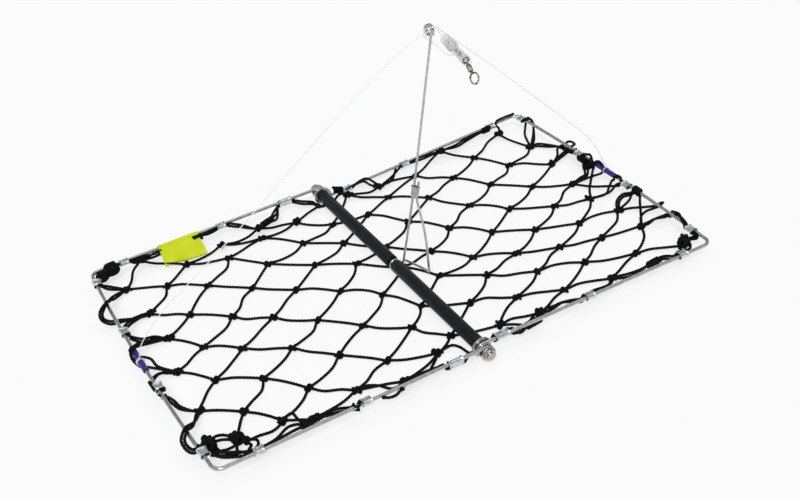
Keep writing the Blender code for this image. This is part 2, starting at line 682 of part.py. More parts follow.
def make_swivel(body, barrel_body, ring_body):
    place = facing(UPPER_EYE, SWIVEL_WAY, ALONG_Y)
    rim = SWIVEL_WIRE / 4
    inner_face = BARREL_START + LIP + GAP
    upper = swivel_eye_mesh(0, SWIVEL_EYE_RADIUS, SWIVEL_EYE_RADIUS, -SWIVEL_WAY, inner_face)
    stem = turned([
        (0, SWIVEL_EYE_RADIUS + rim), (STEM_RADIUS, SWIVEL_EYE_RADIUS + rim), (STEM_RADIUS, inner_face),
        (HEAD_RADIUS, inner_face), (HEAD_RADIUS, inner_face + HEAD_LENGTH), (0, inner_face + HEAD_LENGTH),
    ], 10, place, closed=False)
    join_bodies("swivel_upper_eye", [upper, stem], body, BLACK_NICKEL)

    hole = STEM_RADIUS + GAP
    room = HEAD_RADIUS + GAP
    shape = [(0, 0.62), (0.12, 0.9), (0.3, 1), (0.4, 0.9)]
    shape += [(1 - along, share) for along, share in reversed(shape)]
    outer = [
        (BARREL_RADIUS * share, BARREL_START + BARREL_LENGTH * along) for along, share in shape
    ]
    inner = [(hole, BARREL_END), (hole, BARREL_END - LIP), (room, BARREL_END - LIP),
             (room, BARREL_START + LIP), (hole, BARREL_START + LIP), (hole, BARREL_START)]
    add_mesh("swivel_barrel", turned(outer + inner, 14, place), barrel_body, BLACK_NICKEL)

    lower = swivel_eye_mesh(
        LOWER_RING_AT, LOWER_RING_HALF_WIDTH, LOWER_RING_HALF_LENGTH, SWIVEL_WAY, BARREL_END)
    neck = LOWER_RING_AT - LOWER_RING_HALF_LENGTH - rim
    seat = BARREL_END - LIP - GAP
    stem = turned([
        (0, seat - HEAD_LENGTH), (HEAD_RADIUS, seat - HEAD_LENGTH), (HEAD_RADIUS, seat),
        (STEM_RADIUS, seat), (STEM_RADIUS, neck), (0, neck),
    ], 10, place, closed=False)
    join_bodies("swivel_ring", [lower, stem], ring_body, BLACK_NICKEL)


# Crimps, blue sleeves and tag

# Places along the bars are shares of LEFT_BAR_Y on an end bar and of HALF_LENGTH on a side bar
LEFT_END_CRIMPS = (-0.845, -0.248, 0.317, 0.874)
RIGHT_END_CRIMPS = (-0.819, -0.208, 0.28, 0.916)
LEFT_NEAR_CRIMPS = (-0.849, -0.464, -0.125)
LEFT_FAR_CRIMPS = (-0.865, -0.45)
RIGHT_NEAR_CRIMPS = (0.0795, 0.45, 0.868)
RIGHT_FAR_CRIMPS = (0.1065, 0.4035, 0.855)
BARE_HITCHES = {(-1, "near"): -0.663, (-1, "far"): -0.101, (1, "near"): 0.261, (1, "far"): 0.261}


def cord_side(side, bar, place):
    """The way from a rod's centre to its lacing.

    Near the axle the left half's cord lies under its rod, where the right half's rod passes
    clear of it as the trap folds up.
    """
    if bar == "end":
        return -side * ALONG_X
    if side < 0 and abs(place) < UNDER_ROD_WITHIN:
        return -UP
    return -ALONG_Y if bar == "far" else ALONG_Y


def crimp_places(side):
    """Each crimp of one half: its name, middle, the way along the bar, the way to its cord."""
    word = "left" if side < 0 else "right"
    places = []
    ends = LEFT_END_CRIMPS if side < 0 else RIGHT_END_CRIMPS
    for i, share in enumerate(ends):
        y = share * LEFT_BAR_Y
        slope = end_point(side, y + MM) - end_point(side, y - MM)
        places.append((f"crimp_{word}_end_{i + 1}", end_point(side, y), slope, -side * ALONG_X))
    for bar, far, spots in (
        ("near", -1, LEFT_NEAR_CRIMPS if side < 0 else RIGHT_NEAR_CRIMPS),
        ("far", 1, LEFT_FAR_CRIMPS if side < 0 else RIGHT_FAR_CRIMPS),
    ):
        for i, share in enumerate(spots):
            x = share * HALF_LENGTH
            middle = bar_point(side, x, far)
            slope = bar_point(side, x + side * MM, far) - middle
            places.append((f"crimp_{word}_{bar}_{i + 1}", middle, slope, cord_side(side, bar, x)))
    return places


def make_crimps(side, body):
    bore = round_pair(ROD_RADIUS + GAP, LACING_DIAMETER / 2 + GAP, CORD_OFFSET, 5)
    shell = round_pair(
        ROD_RADIUS + GAP + CRIMP_WALL, LACING_DIAMETER / 2 + GAP + CRIMP_WALL, CORD_OFFSET, 5)
    for name, middle, along, inward in crimp_places(side):
        length = LONG_CRIMP_LENGTH if abs(middle.x) < LONG_CRIMPS_WITHIN else CRIMP_LENGTH
        add_mesh(name, extruded_ring(shell, bore, length, facing(middle, along, inward)), body, ALUMINIUM)


def make_blue_sleeve(name, side, body):
    place = facing(end_point(side, SLEEVE_Y), ALONG_Y, UP)
    profile = washer_like(ROD_RADIUS + GAP, SLEEVE_RADIUS, -SLEEVE_LENGTH / 2, SLEEVE_LENGTH)
    add_mesh(name, turned(profile, 12, place), body, BLUE)


def make_tag(body):
    """A strip folded over the far bar, its two layers lying together down to the net."""
    middle = bar_point(-1, TAG_SHARE * HALF_LENGTH, 1)
    bore = ROD_RADIUS + GAP
    down = math.asin(TAG_DROP / TAG_REACH)
    half = TAG_THICKNESS / 2
    inner = []
    outer = []
    steps = 12
    for i in range(steps + 1):
        angle = math.radians(24) + math.radians(312) * i / steps
        inner.append((bore * math.cos(angle), bore * math.sin(angle)))
        outer.append(((bore + half) * math.cos(angle), (bore + half) * math.sin(angle)))
    fold = bore + half + 1.2 * MM
    outer[0] = (fold, half)
    outer[-1] = (fold, -half)
    outer += [(TAG_REACH, -half), (TAG_REACH, half)]
    inner += [(bore * math.cos(math.radians(-9)), bore * math.sin(math.radians(-9))),
              (bore * math.cos(math.radians(9)), bore * math.sin(math.radians(9)))]
    place = facing(middle, ALONG_X, Vector((0, -math.cos(down), -math.sin(down))))
    add_mesh("bar_tag", extruded_ring(outer, inner, TAG_LENGTH, place), body, LIME)


# Net: a lattice of knots, with a cord to each of a knot's four neighbours

def lattice():
    """The knots' places, keyed by the two cords that cross there."""
    rng = random.Random(11)
    knots = {}
    for m in range(MESHES + 1):
        for n in range(MESHES + 1):
            k, s = m - n, MESHES - m - n
            x = COLUMN_START + COLUMN_PITCH * k + (LEFT_CROWDING * k * k if k < 0 else 0)
            x += COLUMN_LEAN * s * (1 - (k / LEAN_FADES_AT) ** 2)
            x -= RIGHT_WAIST * min(max(k, 0) / WAIST_COLUMNS, 1) * (1 - (2 * s / MESHES) ** 2)
            y = s * (ROW_PITCH - RIGHT_ROW_LOSS * max(k, 0))
            y -= ROW_SHIFT * (1 + math.tanh(k / WAIST_COLUMNS))
            x += rng.uniform(-1, 1) * NET_SLACK
            y += rng.uniform(-1, 1) * NET_SLACK
            if not LAST_COLUMNS[0] <= k <= LAST_COLUMNS[1] or abs(y) > EDGE_REACH * NET_HALF_WIDTH:
                continue
            if abs(y) > NET_HALF_WIDTH:
                over = abs(y) - NET_HALF_WIDTH
                y = math.copysign(NET_HALF_WIDTH + over * EDGE_CROWDING, y)
            if abs(x) < MIDDLE_CLEARANCE:
                x = math.copysign(MIDDLE_CLEARANCE, x - 3 * MM)
            knots[m, n] = Vector((x, y, 0))
    return knots


WAYS = ((1, 0), (0, 1), (-1, 0), (0, -1))
LEAVES = (Vector((1, -1, 0)), Vector((-1, -1, 0)), Vector((-1, 1, 0)), Vector((1, 1, 0)))
CORD_Z = 2.3 * MM
MIDDLE_CORD_Z = 1.3 * MM


def set_section(face, centre, way, width, height):
    """Moves a four-sided face to a cord's cross-section at this place."""
    face.normal_update()
    own_across = UP.cross(face.normal)
    across = UP.cross(way).normalized()
    middle = face.calc_center_median()
    spots = [(v, (v.co - middle).dot(own_across) > 0, v.co.z > middle.z) for v in face.verts]
    for vert, left, high in spots:
        vert.co = centre + across * width / 2 * (1 if left else -1) + UP * height / 2 * (1 if high else -1)


def add_knot(bm, spot):
    """A low four-cornered block with a side face towards each neighbour."""
    made = bmesh.ops.create_circle(bm, segments=4, radius=1, cap_ends=True)
    bmesh.ops.scale(bm, vec=(KNOT_HALF_X, KNOT_HALF_Y, 1), verts=made["verts"])
    bottom = made["verts"][0].link_faces[0]
    raised = bmesh.ops.extrude_face_region(bm, geom=[bottom], use_keep_orig=True)
    top = [item for item in raised["geom"] if isinstance(item, bmesh.types.BMVert)]
    bmesh.ops.scale(bm, vec=(0.72, 0.72, 1), verts=top)
    bmesh.ops.translate(bm, vec=(0, 0, KNOT_HEIGHT), verts=top)
    verts = made["verts"] + top
    bmesh.ops.translate(bm, vec=spot, verts=verts)
    sides = {face for vert in verts for face in vert.link_faces}
    return [
        max(sides, key=lambda face: (face.calc_center_median() - spot).dot(leave)) for leave in LEAVES
    ]


def grow(bm, face, centre, way, height=CORD_DIAMETER):
    """Draws a face out to the cord's next cross-section."""
    face = bmesh.ops.extrude_discrete_faces(bm, faces=[face])["faces"][0]
    set_section(face, centre, way, CORD_DIAMETER, height)
    return face


def start_cord(bm, face, spot, way):
    """Draws a knot's side face out to the start of a cord."""
    return grow(bm, face, spot + way * (KNOT_HALF_Y + 0.6 * MM) + UP * CORD_Z, way)


def join_faces(bm, first, second):
    edges = list(first.edges) + list(second.edges)
    bmesh.ops.delete(bm, geom=[first, second], context="FACES_ONLY")
    bmesh.ops.bridge_loops(bm, edges=edges)


def make_net(name, side, knots, body):
    rng = random.Random(5)
    bm = bmesh.new()
    faces = {key: add_knot(bm, spot) for key, spot in knots.items() if spot.x * side > 0}
    for (m, n), spot in knots.items():
        for i, (dm, dn) in enumerate(WAYS):
            other = knots.get((m + dm, n + dn))
            bends = (rng.uniform(-1, 1) * NET_SLACK, rng.uniform(-1, 1) * NET_SLACK)
            if other is None:
                continue
            way = (other - spot).normalized()
            across = UP.cross(way)
            if spot.x * side > 0 > other.x * side:
                face = start_cord(bm, faces[m, n][i], spot, way)
                cut = spot.lerp(other, abs(spot.x) / abs(spot.x - other.x))
                cut.x = side * GAP / 2
                before = spot.lerp(cut, 0.62)
                if abs(before.x) > KNOT_HALF_X + 2 * MM:
                    face = grow(bm, face, before + UP * CORD_Z, way)
                face = grow(bm, face, cut + UP * MIDDLE_CORD_Z, -side * ALONG_X, height=CORD_FLAT)
                continue
            if spot.x * side < 0 or other.x * side < 0 or i > 1:
                continue
            face = start_cord(bm, faces[m, n][i], spot, way)
            last = start_cord(bm, faces[m + dm, n + dn][i + 2], other, -way)
            for share, bend in ((0.36, bends[0]), (0.66, bends[1])):
                middle = spot.lerp(other, share) + across * bend + UP * CORD_Z
                face = grow(bm, face, middle, way)
            join_faces(bm, face, last)
    add_mesh(name, bm, body, NET, smooth=60)


# Lacing: a cord along each bar, through its crimps and past the net's outer knots

def outer_knots(side, bar, knots):
    """The knots along one bar of one half, with how far each reaches towards it."""
    found = []
    for (m, n), spot in knots.items():
        if spot.x * side < 0:
            continue
        missing = [(dm, dn) for dm, dn in WAYS if (m + dm, n + dn) not in knots]
        if bar == "end":
            if m - n in LAST_COLUMNS:
                found.append(spot)
        elif (len(missing) >= 2 and abs(spot.y) > EDGE_KNOTS_FROM * NET_HALF_WIDTH
                and m - n not in LAST_COLUMNS):
            if (spot.y > 0) == (bar == "far"):
                found.append(spot)
    return found


LACING_LOW = 3.0 * MM
APPROACH = 13 * MM


def holding_places(side, bar):
    """Where a bar holds its lacing: the place along the bar and half the length held."""
    places = []
    for name, middle, _, _ in crimp_places(side):
        if f"_{bar}_" in name:
            length = LONG_CRIMP_LENGTH if abs(middle.x) < LONG_CRIMPS_WITHIN else CRIMP_LENGTH
            places.append((middle.y if bar == "end" else middle.x, length / 2 + 1 * MM))
    if (side, bar) in BARE_HITCHES:
        places.append((BARE_HITCHES[side, bar] * HALF_LENGTH, CRIMP_LENGTH / 2))
    return sorted(places)


def on_bar(side, bar, place):
    """A point on a bar's centre line, by its place along the bar."""
    if bar == "end":
        return end_point(side, place)
    return bar_point(side, place, 1 if bar == "far" else -1)


def lacing_path(side, bar, knots):
    """The lacing's points, from one held place to the next by way of the knots between."""
    far = 1 if bar == "far" else -1
    inward = -side * ALONG_X if bar == "end" else -far * ALONG_Y
    along = ALONG_Y if bar == "end" else ALONG_X
    reach = KNOT_HALF_X if bar == "end" else KNOT_HALF_Y
    reach += LACING_DIAMETER / 2 + GAP
    held = holding_places(side, bar)
    first, last = held[0][0], held[-1][0]
    path = []
    for place, half in held:
        beside = cord_side(side, bar, place) * CORD_OFFSET
        for way in (-1, 1):
            end = place + way * half
            run = [on_bar(side, bar, end) + beside]
            outside = place == (first if way < 0 else last)
            if not outside:
                run.append(on_bar(side, bar, end + way * 3 * MM) + beside)
                if beside.z < 0:
                    run.append(on_bar(side, bar, end + way * 8 * MM) - UP * (CORD_OFFSET + 4 * MM))
                low = on_bar(side, bar, end + way * APPROACH) + inward * (CORD_OFFSET + 6 * MM)
                low.z = LACING_LOW + 2 * MM
                run.append(low)
            path += reversed(run) if way < 0 else run
    for spot in outer_knots(side, bar, knots):
        place = spot.dot(along)
        clear = all(abs(place - middle) > half + APPROACH + 5 * MM for middle, half in held)
        if clear and first < place < last:
            path.append(spot - inward * reach + UP * LACING_LOW)
    return sorted(path, key=lambda point: point.dot(along))


# Bunches of spare net tied into three corners

BUNCHES = (
    ("bunch_left_near", -1, -1, 18.0, (16.0, 11.5, 6.4)),
    ("bunch_left_far", -1, 1, 13.7, (11.0, 8.6, 6.4)),
    ("bunch_right_near", 1, -1, 11.7, (9.0, 8.2, 6.6)),
)
BUNCH_Z = 10.0 * MM


def room_beside_bar(bm, side, x, far):
    """How far a shape can move towards a side bar before it meets the rod."""
    bar = bar_point(side, x, far)
    reach = ROD_RADIUS + GAP
    rooms = [
        abs(bar.y) - math.sqrt(reach ** 2 - (vert.co.z - bar.z) ** 2) - far * vert.co.y
        for vert in bm.verts if abs(vert.co.z - bar.z) < reach
    ]
    return min(rooms)


def make_bunches(side, body):
    """Lumps of spare net, each tied against its corner's side bar."""
    rng = random.Random(3)
    for name, bunch_side, far, inset, half in BUNCHES:
        x = bunch_side * (HALF_LENGTH - inset * MM)
        bm = bmesh.new()
        bmesh.ops.create_icosphere(bm, subdivisions=2, radius=1)
        for vert in bm.verts:
            vert.co *= rng.uniform(0.86, 1.0)
        bmesh.ops.scale(bm, vec=[size * MM for size in half], verts=bm.verts)
        bmesh.ops.translate(bm, vec=(x, 0, BUNCH_Z), verts=bm.verts)
        room = room_beside_bar(bm, bunch_side, x, far)
        bmesh.ops.translate(bm, vec=ALONG_Y * far * room, verts=bm.verts)
        if bunch_side == side:
            add_mesh(name, bm, body, NET, smooth=60)


def make_lacing(side, knots, body):
    word = "left" if side < 0 else "right"
    for bar in ("near", "far", "end"):
        points = smooth_path(lacing_path(side, bar, knots), LACING_STEP)
        wire(f"lacing_{word}_{bar}", points, LACING_DIAMETER / 2, body, NET, sides_step=1)


def main():
    for old in list(bpy.data.objects):
        bpy.data.objects.remove(old)
    axle_unit = pivot("axle_unit_pivot", (0, 0, 0))
    left_frame = pivot("left_frame_pivot", AXLE)
    right_frame = pivot("right_frame_pivot", AXLE)
    clip = pivot("clip_pivot", clip_pivot())
    barrel = pivot("swivel_barrel_pivot", UPPER_EYE + SWIVEL_WAY * BARREL_START)
    ring = pivot("swivel_ring_pivot", UPPER_EYE + SWIVEL_WAY * BARREL_END)

    make_axle(axle_unit)
    make_arm(axle_unit, clip)
    make_lines(axle_unit)
    make_chain(axle_unit)
    make_swivel(axle_unit, barrel, ring)
    knots = lattice()
    for word, side, body in (("left", -1, left_frame), ("right", 1, right_frame)):
        make_frame(f"{word}_rod", side, body)
        make_crimps(side, body)
        make_blue_sleeve(f"{word}_blue_sleeve", side, body)
        make_net(f"net_{word}", side, knots, body)
        make_lacing(side, knots, body)
        make_bunches(side, body)
    make_tag(left_frame)


main()
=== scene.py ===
"""Looks of the castable crab trap: laid cord net, pressed crimps, bent wire and clear tackle.

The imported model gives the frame. Soft parts, wires and turned parts are made again here in a
fuller form, each in its node's place, and every finish is a node material.
"""

import math
import random

import bmesh
import bpy
from mathutils import Euler, Matrix, Vector


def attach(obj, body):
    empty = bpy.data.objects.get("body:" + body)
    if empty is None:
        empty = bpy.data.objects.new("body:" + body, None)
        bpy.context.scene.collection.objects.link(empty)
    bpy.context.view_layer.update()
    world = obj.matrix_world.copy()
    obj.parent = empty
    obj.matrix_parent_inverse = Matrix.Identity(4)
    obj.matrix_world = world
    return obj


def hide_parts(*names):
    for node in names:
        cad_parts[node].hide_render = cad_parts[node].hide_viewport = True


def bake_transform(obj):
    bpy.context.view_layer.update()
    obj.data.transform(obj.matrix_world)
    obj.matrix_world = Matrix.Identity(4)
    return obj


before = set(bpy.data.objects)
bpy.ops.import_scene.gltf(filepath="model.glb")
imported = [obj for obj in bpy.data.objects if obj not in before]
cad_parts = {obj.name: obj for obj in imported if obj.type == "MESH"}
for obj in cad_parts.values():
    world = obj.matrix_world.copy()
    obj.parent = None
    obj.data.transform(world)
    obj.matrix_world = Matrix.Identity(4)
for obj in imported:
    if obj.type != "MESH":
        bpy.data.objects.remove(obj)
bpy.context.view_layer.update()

MM = 0.001
UP = Vector((0, 0, 1))
ALONG_X = Vector((1, 0, 0))
ALONG_Y = Vector((0, 1, 0))

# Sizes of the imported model

GAP = 0.3 * MM
HALF_LENGTH = 237.7 * MM
LEFT_BAR_Y = 152.8 * MM
RIGHT_BAR_Y = 147.4 * MM
RIGHT_FLARE = 3.6 * MM
END_BOW = 3.8 * MM
CORNER_RADIUS = 8.0 * MM
EYE_ANGLE = math.radians(265)
EYE_RADIUS = 4.95 * MM
AXLE_Z = 9.0 * MM
BAR_Z = AXLE_Z + EYE_RADIUS
LOW_BAR_Z = AXLE_Z - EYE_RADIUS
ROD_RADIUS = 1.6 * MM
TUBE_RADIUS = 6.0 * MM
TUBE_BORE = 3.35 * MM
MIDDLE_GAP = 8.0 * MM
TUBE_END_Y = 143.6 * MM
BOLT_RADIUS = 3.0 * MM
WASHER_THICKNESS = 1.6 * MM
NUT_Y = 156.6 * MM
CORD_OFFSET = 3.1 * MM
LACING_RADIUS = 1.2 * MM
LONG_CRIMPS_WITHIN = 32.0 * MM
CRIMP_LENGTH = 8.0 * MM
UNDER_ROD_WITHIN = 60.0 * MM
SLEEVE_Y = 3.0 * MM
SLEEVE_LENGTH = 31.0 * MM
LINE_RADIUS = 0.5 * MM
AXLE = Vector((0, 0, AXLE_Z))

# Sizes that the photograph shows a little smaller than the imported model's

LONG_CRIMP_LENGTH = 12.6 * MM
SLEEVE_RADIUS = 2.6 * MM

SIDE_WORDS = {-1: "left", 1: "right"}


def mm(place):
    """A place given in mm."""
    return Vector(place) * MM


def evenly(start, end, steps):
    """The values from start to end in so many equal steps, both included."""
    return [start + (end - start) * i / steps for i in range(steps + 1)]


def swung(first, second, angle):
    """The way at this angle from the first way towards the second."""
    return first * math.cos(angle) + second * math.sin(angle)


def on_circle(radius, angle):
    return radius * math.cos(angle), radius * math.sin(angle)


# Camera, at the photograph's angle

def make_camera():
    turn, rise, roll = math.radians(-25.99), math.radians(34.88), math.radians(-6.72)
    target = Vector((0.02057, 0.02678, 0))
    distance = 1.08096
    picture_width, focal_length = 800, 1157.06
    back = Vector((
        math.sin(turn) * math.cos(rise), -math.cos(turn) * math.cos(rise), math.sin(rise)))
    level = Vector((math.cos(turn), math.sin(turn), 0))
    upright = back.cross(level)
    right = level * math.cos(roll) + upright * math.sin(roll)
    up = upright * math.cos(roll) - level * math.sin(roll)
    camera = bpy.data.objects.new("camera", bpy.data.cameras.new("camera"))
    camera.data.sensor_width = 36
    camera.data.lens = focal_length / picture_width * camera.data.sensor_width
    place = Matrix((right, up, back)).transposed().to_4x4()
    place.translation = target + back * distance
    camera.matrix_world = place
    bpy.context.scene.collection.objects.link(camera)
    bpy.context.scene.camera = camera


make_camera()


# Shader sums written as Python. Sockets that share a name are known by their number: those of
# a colour mix, and those of a mix of two shaders.

MIX_SHARE, MIX_FIRST, MIX_SECOND, MIX_RESULT = 0, 6, 7, 2
SHARE, FIRST, SECOND = 0, 1, 2
WHITE = (1, 1, 1, 1)


class Shade:
    """A node's output. Sums on it add Math nodes, and node() adds any other node."""

    def __init__(self, tree, socket=None):
        self.tree = tree
        self.socket = socket

    def feed(self, node, values):
        """Gives each input its value, or links it to another node's output."""
        for key, value in values.items():
            if isinstance(value, Shade):
                self.tree.links.new(value.socket, node.inputs[key])
            else:
                node.inputs[key].default_value = value

    def node(self, kind, values, output=0, **settings):
        made = self.tree.nodes.new(kind)
        for key, value in settings.items():
            setattr(made, key, value)
        self.feed(made, values)
        return Shade(self.tree, made.outputs[output])

    def math(self, operation, other):
        return self.node("ShaderNodeMath", {0: self, 1: other}, operation=operation)

    def __add__(self, other):
        return self.math("ADD", other)

    def __sub__(self, other):
        return self.math("SUBTRACT", other)

    def __mul__(self, other):
        return self.math("MULTIPLY", other)

    def spread(self, low, high, to_low=0.0, to_high=1.0):
        """This value taken from low..high to another range, and held within it."""
        return self.node("ShaderNodeMapRange", {
            "Value": self, "From Min": low, "From Max": high, "To Min": to_low, "To Max": to_high,
        }, clamp=True)

    def ranging(self, low, high):
        """The middle of the noise's values taken to low..high."""
        return self.spread(0.3, 0.7, low, high)

    def colours(self, first, second):
        """The first colour where this value is 0, the second where it is 1."""
        return self.node("ShaderNodeMix", {
            MIX_SHARE: self, MIX_FIRST: (*first, 1.0), MIX_SECOND: (*second, 1.0),
        }, MIX_RESULT, data_type="RGBA")

    def bump(self, height):
        return self.node("ShaderNodeBump", {"Height": self, "Distance": height, "Strength": 1.0})

    def noise(self, scale, detail=2.0, roughness=0.5, stretch=(1, 1, 1)):
        """Noise from 0 to 1 on the piece's own coordinates, drawn out where stretch is below 1."""
        place = self.node("ShaderNodeTexCoord", {}, "Object")
        place = self.node("ShaderNodeMapping", {"Vector": place, "Scale": stretch})
        return self.node("ShaderNodeTexNoise", {
            "Vector": place, "Scale": scale, "Detail": detail, "Roughness": roughness})


def material(name, make_sockets):
    """A Principled material whose sockets get the values and links that the function gives."""
    made = bpy.data.materials.new(name)
    made.use_nodes = True
    surface = Shade(made.node_tree)
    surface.feed(made.node_tree.nodes["Principled BSDF"], make_sockets(surface))
    return made


def laid_black_cord(surface):
    """Tarred twine: near black, with paler fibres on the crowns of the lay."""
    fibres = surface.noise(1500, detail=4, roughness=0.65)
    return {
        "Base Color": fibres.spread(0.48, 0.74).colours(
            (0.0010, 0.0009, 0.0014), (0.012, 0.012, 0.014)),
        "Roughness": surface.noise(700).ranging(0.5, 0.75),
        "Specular IOR Level": 0.12,
        "Normal": fibres.bump(0.15 * MM),
    }


def drawn_stainless_wire(surface):
    dulled = surface.noise(260, detail=4)
    return {
        "Base Color": dulled.spread(0.35, 0.7).colours((0.55, 0.55, 0.555), (0.38, 0.38, 0.385)),
        "Roughness": surface.noise(800, detail=3).ranging(0.12, 0.26),
        "Metallic": 1.0,
        "Normal": surface.noise(2600, detail=3).bump(0.012 * MM),
    }


def dull_plated_steel(surface):
    stain = surface.noise(330, detail=5, roughness=0.6)
    return {
        "Base Color": stain.spread(0.36, 0.68).colours((0.56, 0.55, 0.51), (0.32, 0.31, 0.28)),
        "Roughness": surface.noise(600, detail=3).ranging(0.18, 0.36),
        "Metallic": 1.0,
        "Normal": surface.noise(1700, detail=3).bump(0.008 * MM),
    }


def pressed_aluminium(surface):
    pressed = surface.noise(300, detail=3)
    return {
        "Base Color": pressed.spread(0.34, 0.68).colours((0.72, 0.73, 0.74), (0.50, 0.51, 0.52)),
        "Roughness": surface.noise(500, detail=2).ranging(0.2, 0.34),
        "Metallic": 1.0,
        "Normal": surface.noise(700, detail=2).bump(0.025 * MM),
    }


def slate_plastic_tube(surface):
    """Extruded tube: fine draw marks along the axle's length, and a few scuffs."""
    drawn = surface.noise(420, detail=5, stretch=(1, 0.12, 1))
    scuffs = surface.noise(140, detail=5, roughness=0.6)
    return {
        "Base Color": scuffs.spread(0.35, 0.75).colours(
            (0.003, 0.008, 0.011), (0.008, 0.015, 0.019)),
        "Roughness": drawn.ranging(0.34, 0.5),
        "Specular IOR Level": 0.15,
        "Normal": drawn.bump(0.03 * MM),
    }


def blue_plastic(surface):
    rubbed = surface.noise(280, detail=4)
    return {
        "Base Color": rubbed.spread(0.35, 0.7).colours((0.020, 0.016, 0.21), (0.013, 0.012, 0.14)),
        "Roughness": surface.noise(600).ranging(0.32, 0.46),
        "Normal": surface.noise(1500, detail=3).bump(0.02 * MM),
    }


def lime_vinyl(surface):
    """Soft vinyl: a slight mottling, and a fine grain that breaks its gloss."""
    mottled = surface.noise(85, detail=5)
    grain = surface.noise(1300, detail=3)
    return {
        "Base Color": mottled.spread(0.3, 0.75).colours((0.62, 0.70, 0.006), (0.55, 0.62, 0.006)),
        "Roughness": grain.ranging(0.4, 0.56),
        "Specular IOR Level": 0.3,
        "Normal": grain.bump(0.03 * MM),
    }


def clear_soft_plastic(surface):
    """Soft clear sleeve: thin walls that grey what lies behind them a little."""
    cloud = surface.noise(300, detail=2)
    return {
        "Base Color": cloud.spread(0.3, 0.7).colours((0.25, 0.25, 0.24), (0.20, 0.20, 0.195)),
        "Roughness": cloud.ranging(0.14, 0.24),
        "Alpha": cloud.spread(0.25, 0.75, 0.14, 0.17),
    }


def clear_bead_plastic(surface):
    cloud = surface.noise(300, detail=2)
    return {
        "Base Color": cloud.spread(0.3, 0.7).colours((0.96, 0.96, 0.95), (0.91, 0.91, 0.91)),
        "Roughness": cloud.ranging(0.08, 0.16),
        "Alpha": cloud.spread(0.25, 0.75, 0.86, 0.92),
    }


def clear_nylon_line(surface):
    drawn = surface.noise(500)
    return {
        "Base Color": drawn.spread(0.3, 0.7).colours((0.95, 0.95, 0.96), (0.88, 0.88, 0.90)),
        "Roughness": drawn.ranging(0.10, 0.22),
        "Alpha": drawn.spread(0.25, 0.75, 0.5, 0.6),
    }


def black_nickel(surface):
    # The near-black base is the nickel's own colour; the sharp pale patches are painted glints that
    # stand in for reflections.
    painted_glints = surface.noise(450, detail=4)
    return {
        "Base Color": painted_glints.spread(0.46, 0.6).colours((0.055, 0.050, 0.047), (0.62, 0.59, 0.57)),
        "Roughness": surface.noise(900).ranging(0.08, 0.18),
        "Metallic": 1.0,
        "Normal": surface.noise(2200, detail=3).bump(0.012 * MM),
    }


FINISHES = {
    slot: material(make.__name__, make) for slot, make in (
        ("stainless_wire", drawn_stainless_wire), ("plated_fastener", dull_plated_steel),
        ("crimp_aluminium", pressed_aluminium), ("slate_tube", slate_plastic_tube),
        ("blue_sleeve", blue_plastic), ("black_net_cord", laid_black_cord),
        ("lime_tag", lime_vinyl), ("clear_plastic", clear_soft_plastic),
        ("clear_line", clear_nylon_line), ("black_nickel", black_nickel),
    )
}
BEAD_FINISH = material("clear_bead_plastic", clear_bead_plastic)


# Putting finished pieces in the model

SAME_PLACE = 1e-7


def place_piece(name, mesh, slot, body=None, blend=None, replaces=(), smooth=40):
    """Puts a finished mesh on its body, or baked in place given a blend; hides the nodes it
    replaces.
    """
    made = bpy.data.objects.new(name, mesh)
    bpy.context.scene.collection.objects.link(made)
    mesh.materials.clear()
    mesh.materials.append(FINISHES[slot])
    mesh.shade_smooth()
    mesh.set_sharp_from_angle(angle=math.radians(smooth))
    if blend:
        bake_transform(made)
    else:
        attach(made, body)
    if replaces:
        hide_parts(*replaces)
    return made


def finished_mesh(name, bm):
    """A mesh from a bmesh, with its faces turned outwards."""
    bmesh.ops.remove_doubles(bm, verts=bm.verts, dist=SAME_PLACE)
    bmesh.ops.recalc_face_normals(bm, faces=bm.faces)
    if bm.calc_volume(signed=True) < 0:
        bmesh.ops.reverse_faces(bm, faces=bm.faces)
    mesh = bpy.data.meshes.new(name)
    bm.to_mesh(mesh)
    bm.free()
    return mesh


# Paths

def smooth_path(points, step):
    """Points about a step apart along a smooth curve through the given points."""
    ends = [2 * points[0] - points[1], *points, 2 * points[-1] - points[-2]]
    found = []
    for before, start, end, after in zip(ends, ends[1:], ends[2:], ends[3:]):
        count = max(1, round((end - start).length / step))
        for i in range(count):
            t = i / count
            found.append(0.5 * (
                2 * start
                + (end - before) * t
                + (2 * before - 5 * start + 4 * end - after) * t ** 2
                + (3 * start - before - 3 * end + after) * t ** 3
            ))
    return [*found, points[-1]]


def rounded(points, radius, steps=10):
    """The polyline with an arc of this radius at each inner corner."""
    found = [points[0]]
    for before, corner, after in zip(points, points[1:], points[2:]):
        to_before = (before - corner).normalized()
        to_after = (after - corner).normalized()
        half = to_before.angle(to_after) / 2
        centre = corner + (to_before + to_after).normalized() * (radius / math.sin(half))
        start = corner + to_before * (radius / math.tan(half)) - centre
        end = corner + to_after * (radius / math.tan(half)) - centre
        turn = start.angle(end)
        found += [centre + (start * math.sin((1 - t) * turn) + end * math.sin(t * turn))
                  / math.sin(turn) for t in evenly(0, 1, steps)]
    return [*found, points[-1]]


def path_length(points):
    return sum((b - a).length for a, b in zip(points, points[1:]))


